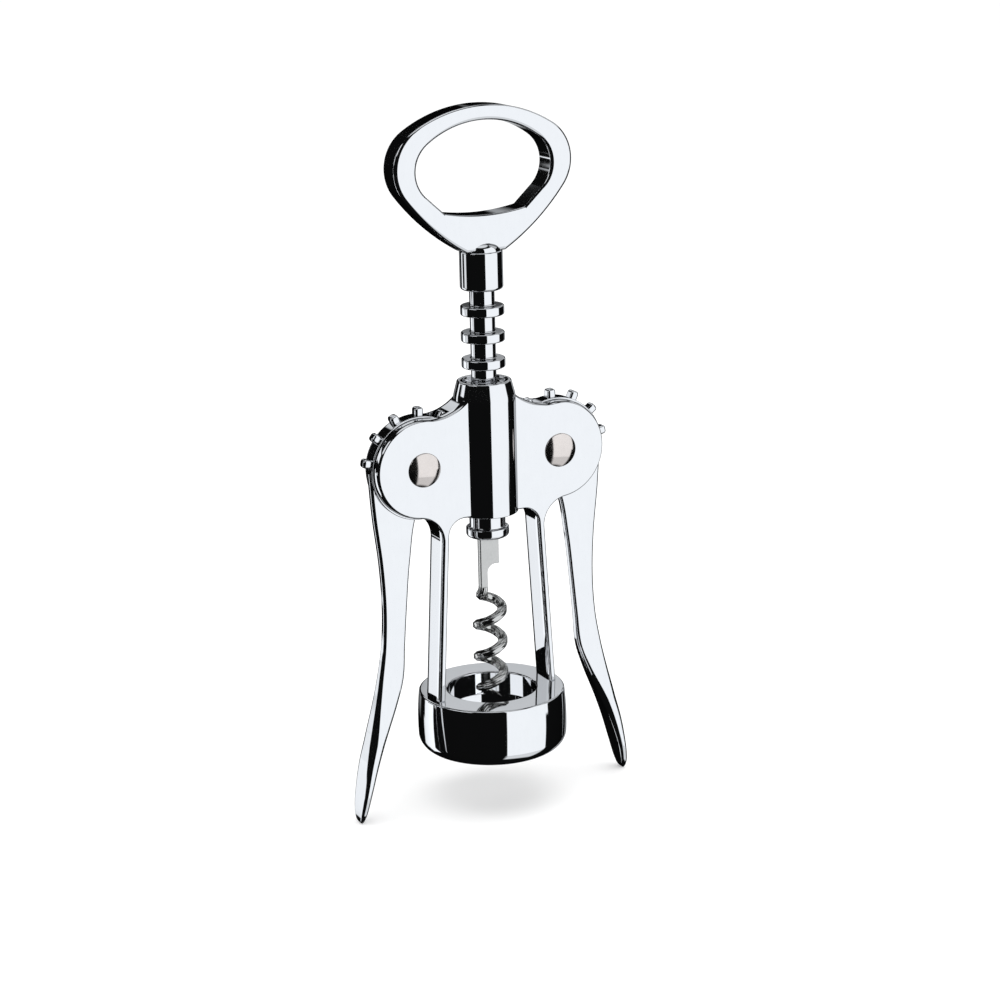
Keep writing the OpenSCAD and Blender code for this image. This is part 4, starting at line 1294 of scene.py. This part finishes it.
class CORKSCREW_OT_spindle(bpy.types.Operator):
    """Ribbed rack and ring handle"""

    bl_idname = "corkscrew.spindle"
    bl_label = "Spindle"

    def execute(self, context):
        s = context.scene.corkscrew_spindle
        found = finishes(context.scene)
        chrome = found["polished_chrome"]
        rack(s).build("rack_rings", chrome, "rack", "chrome", ["rack_spindle"])
        ring_grip(s).build("handle_ring", chrome, "screw", "chrome", ["ring_handle"])
        barrel(s).build("handle_barrel", chrome, "screw", "chrome")
        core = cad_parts["spindle_core"]
        core.data.materials.clear()
        core.data.materials.append(found["satin_steel"])
        return {"FINISHED"}


class CORKSCREW_OT_worm(bpy.types.Operator):
    """Spindle's end, blade and worm"""

    bl_idname = "corkscrew.worm"
    bl_label = "Worm"

    def execute(self, context):
        s = context.scene.corkscrew_worm
        found = finishes(context.scene)
        chrome, satin, bright = (found[k] for k in ("polished_chrome", "satin_steel", "worm_wire"))
        worm_head(s).build("worm_flange", chrome, "screw", "chrome", ["worm_head"])
        blade(s).build("worm_blade", [satin, bright], "screw", "steel", ["worm"])
        wire(s).build("worm_wire", bright, "screw", "steel")
        return {"FINISHED"}


class CORKSCREW_OT_stage(bpy.types.Operator):
    """Camera, floor and light"""

    bl_idname = "corkscrew.stage"
    bl_label = "Stage"

    def execute(self, context):
        set_camera(context.scene)
        lay_floor(context.scene)
        hang_lamp(context.scene)
        surroundings(context.scene)
        context.scene.view_settings.view_transform = "Standard"
        context.scene.view_settings.look = "None"
        return {"FINISHED"}


class CORKSCREW_PT_panel(bpy.types.Panel):
    """Lists the corkscrew's operators"""

    bl_idname = "CORKSCREW_PT_panel"
    bl_label = "Corkscrew"
    bl_space_type = "VIEW_3D"
    bl_region_type = "UI"
    bl_category = "Corkscrew"

    def draw(self, context):
        for operator in OPERATORS:
            self.layout.operator(operator.bl_idname)


GROUPS = {
    "corkscrew_frame": FrameSizes,
    "corkscrew_collar": CollarSizes,
    "corkscrew_lever": LeverSizes,
    "corkscrew_spindle": SpindleSizes,
    "corkscrew_worm": WormSizes,
    "corkscrew_finish": FinishValues,
    "corkscrew_stage": StageValues,
}
OPERATORS = (
    CORKSCREW_OT_frame, CORKSCREW_OT_collar, CORKSCREW_OT_levers, CORKSCREW_OT_spindle,
    CORKSCREW_OT_worm, CORKSCREW_OT_stage,
)


def register():
    for cls in (*GROUPS.values(), *OPERATORS, CORKSCREW_PT_panel):
        bpy.utils.register_class(cls)
    for name, cls in GROUPS.items():
        setattr(bpy.types.Scene, name, bpy.props.PointerProperty(type=cls))


def unregister():
    for name in GROUPS:
        delattr(bpy.types.Scene, name)
    for cls in (CORKSCREW_PT_panel, *OPERATORS, *GROUPS.values()):
        bpy.utils.unregister_class(cls)


def main():
    """Registers the classes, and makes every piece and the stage."""
    register()
    for operator in OPERATORS:
        group, name = operator.bl_idname.split(".")
        if getattr(getattr(bpy.ops, group), name)() != {"FINISHED"}:
            raise RuntimeError(f"{operator.bl_label} was not made")


if __name__ == "__main__":
    main()
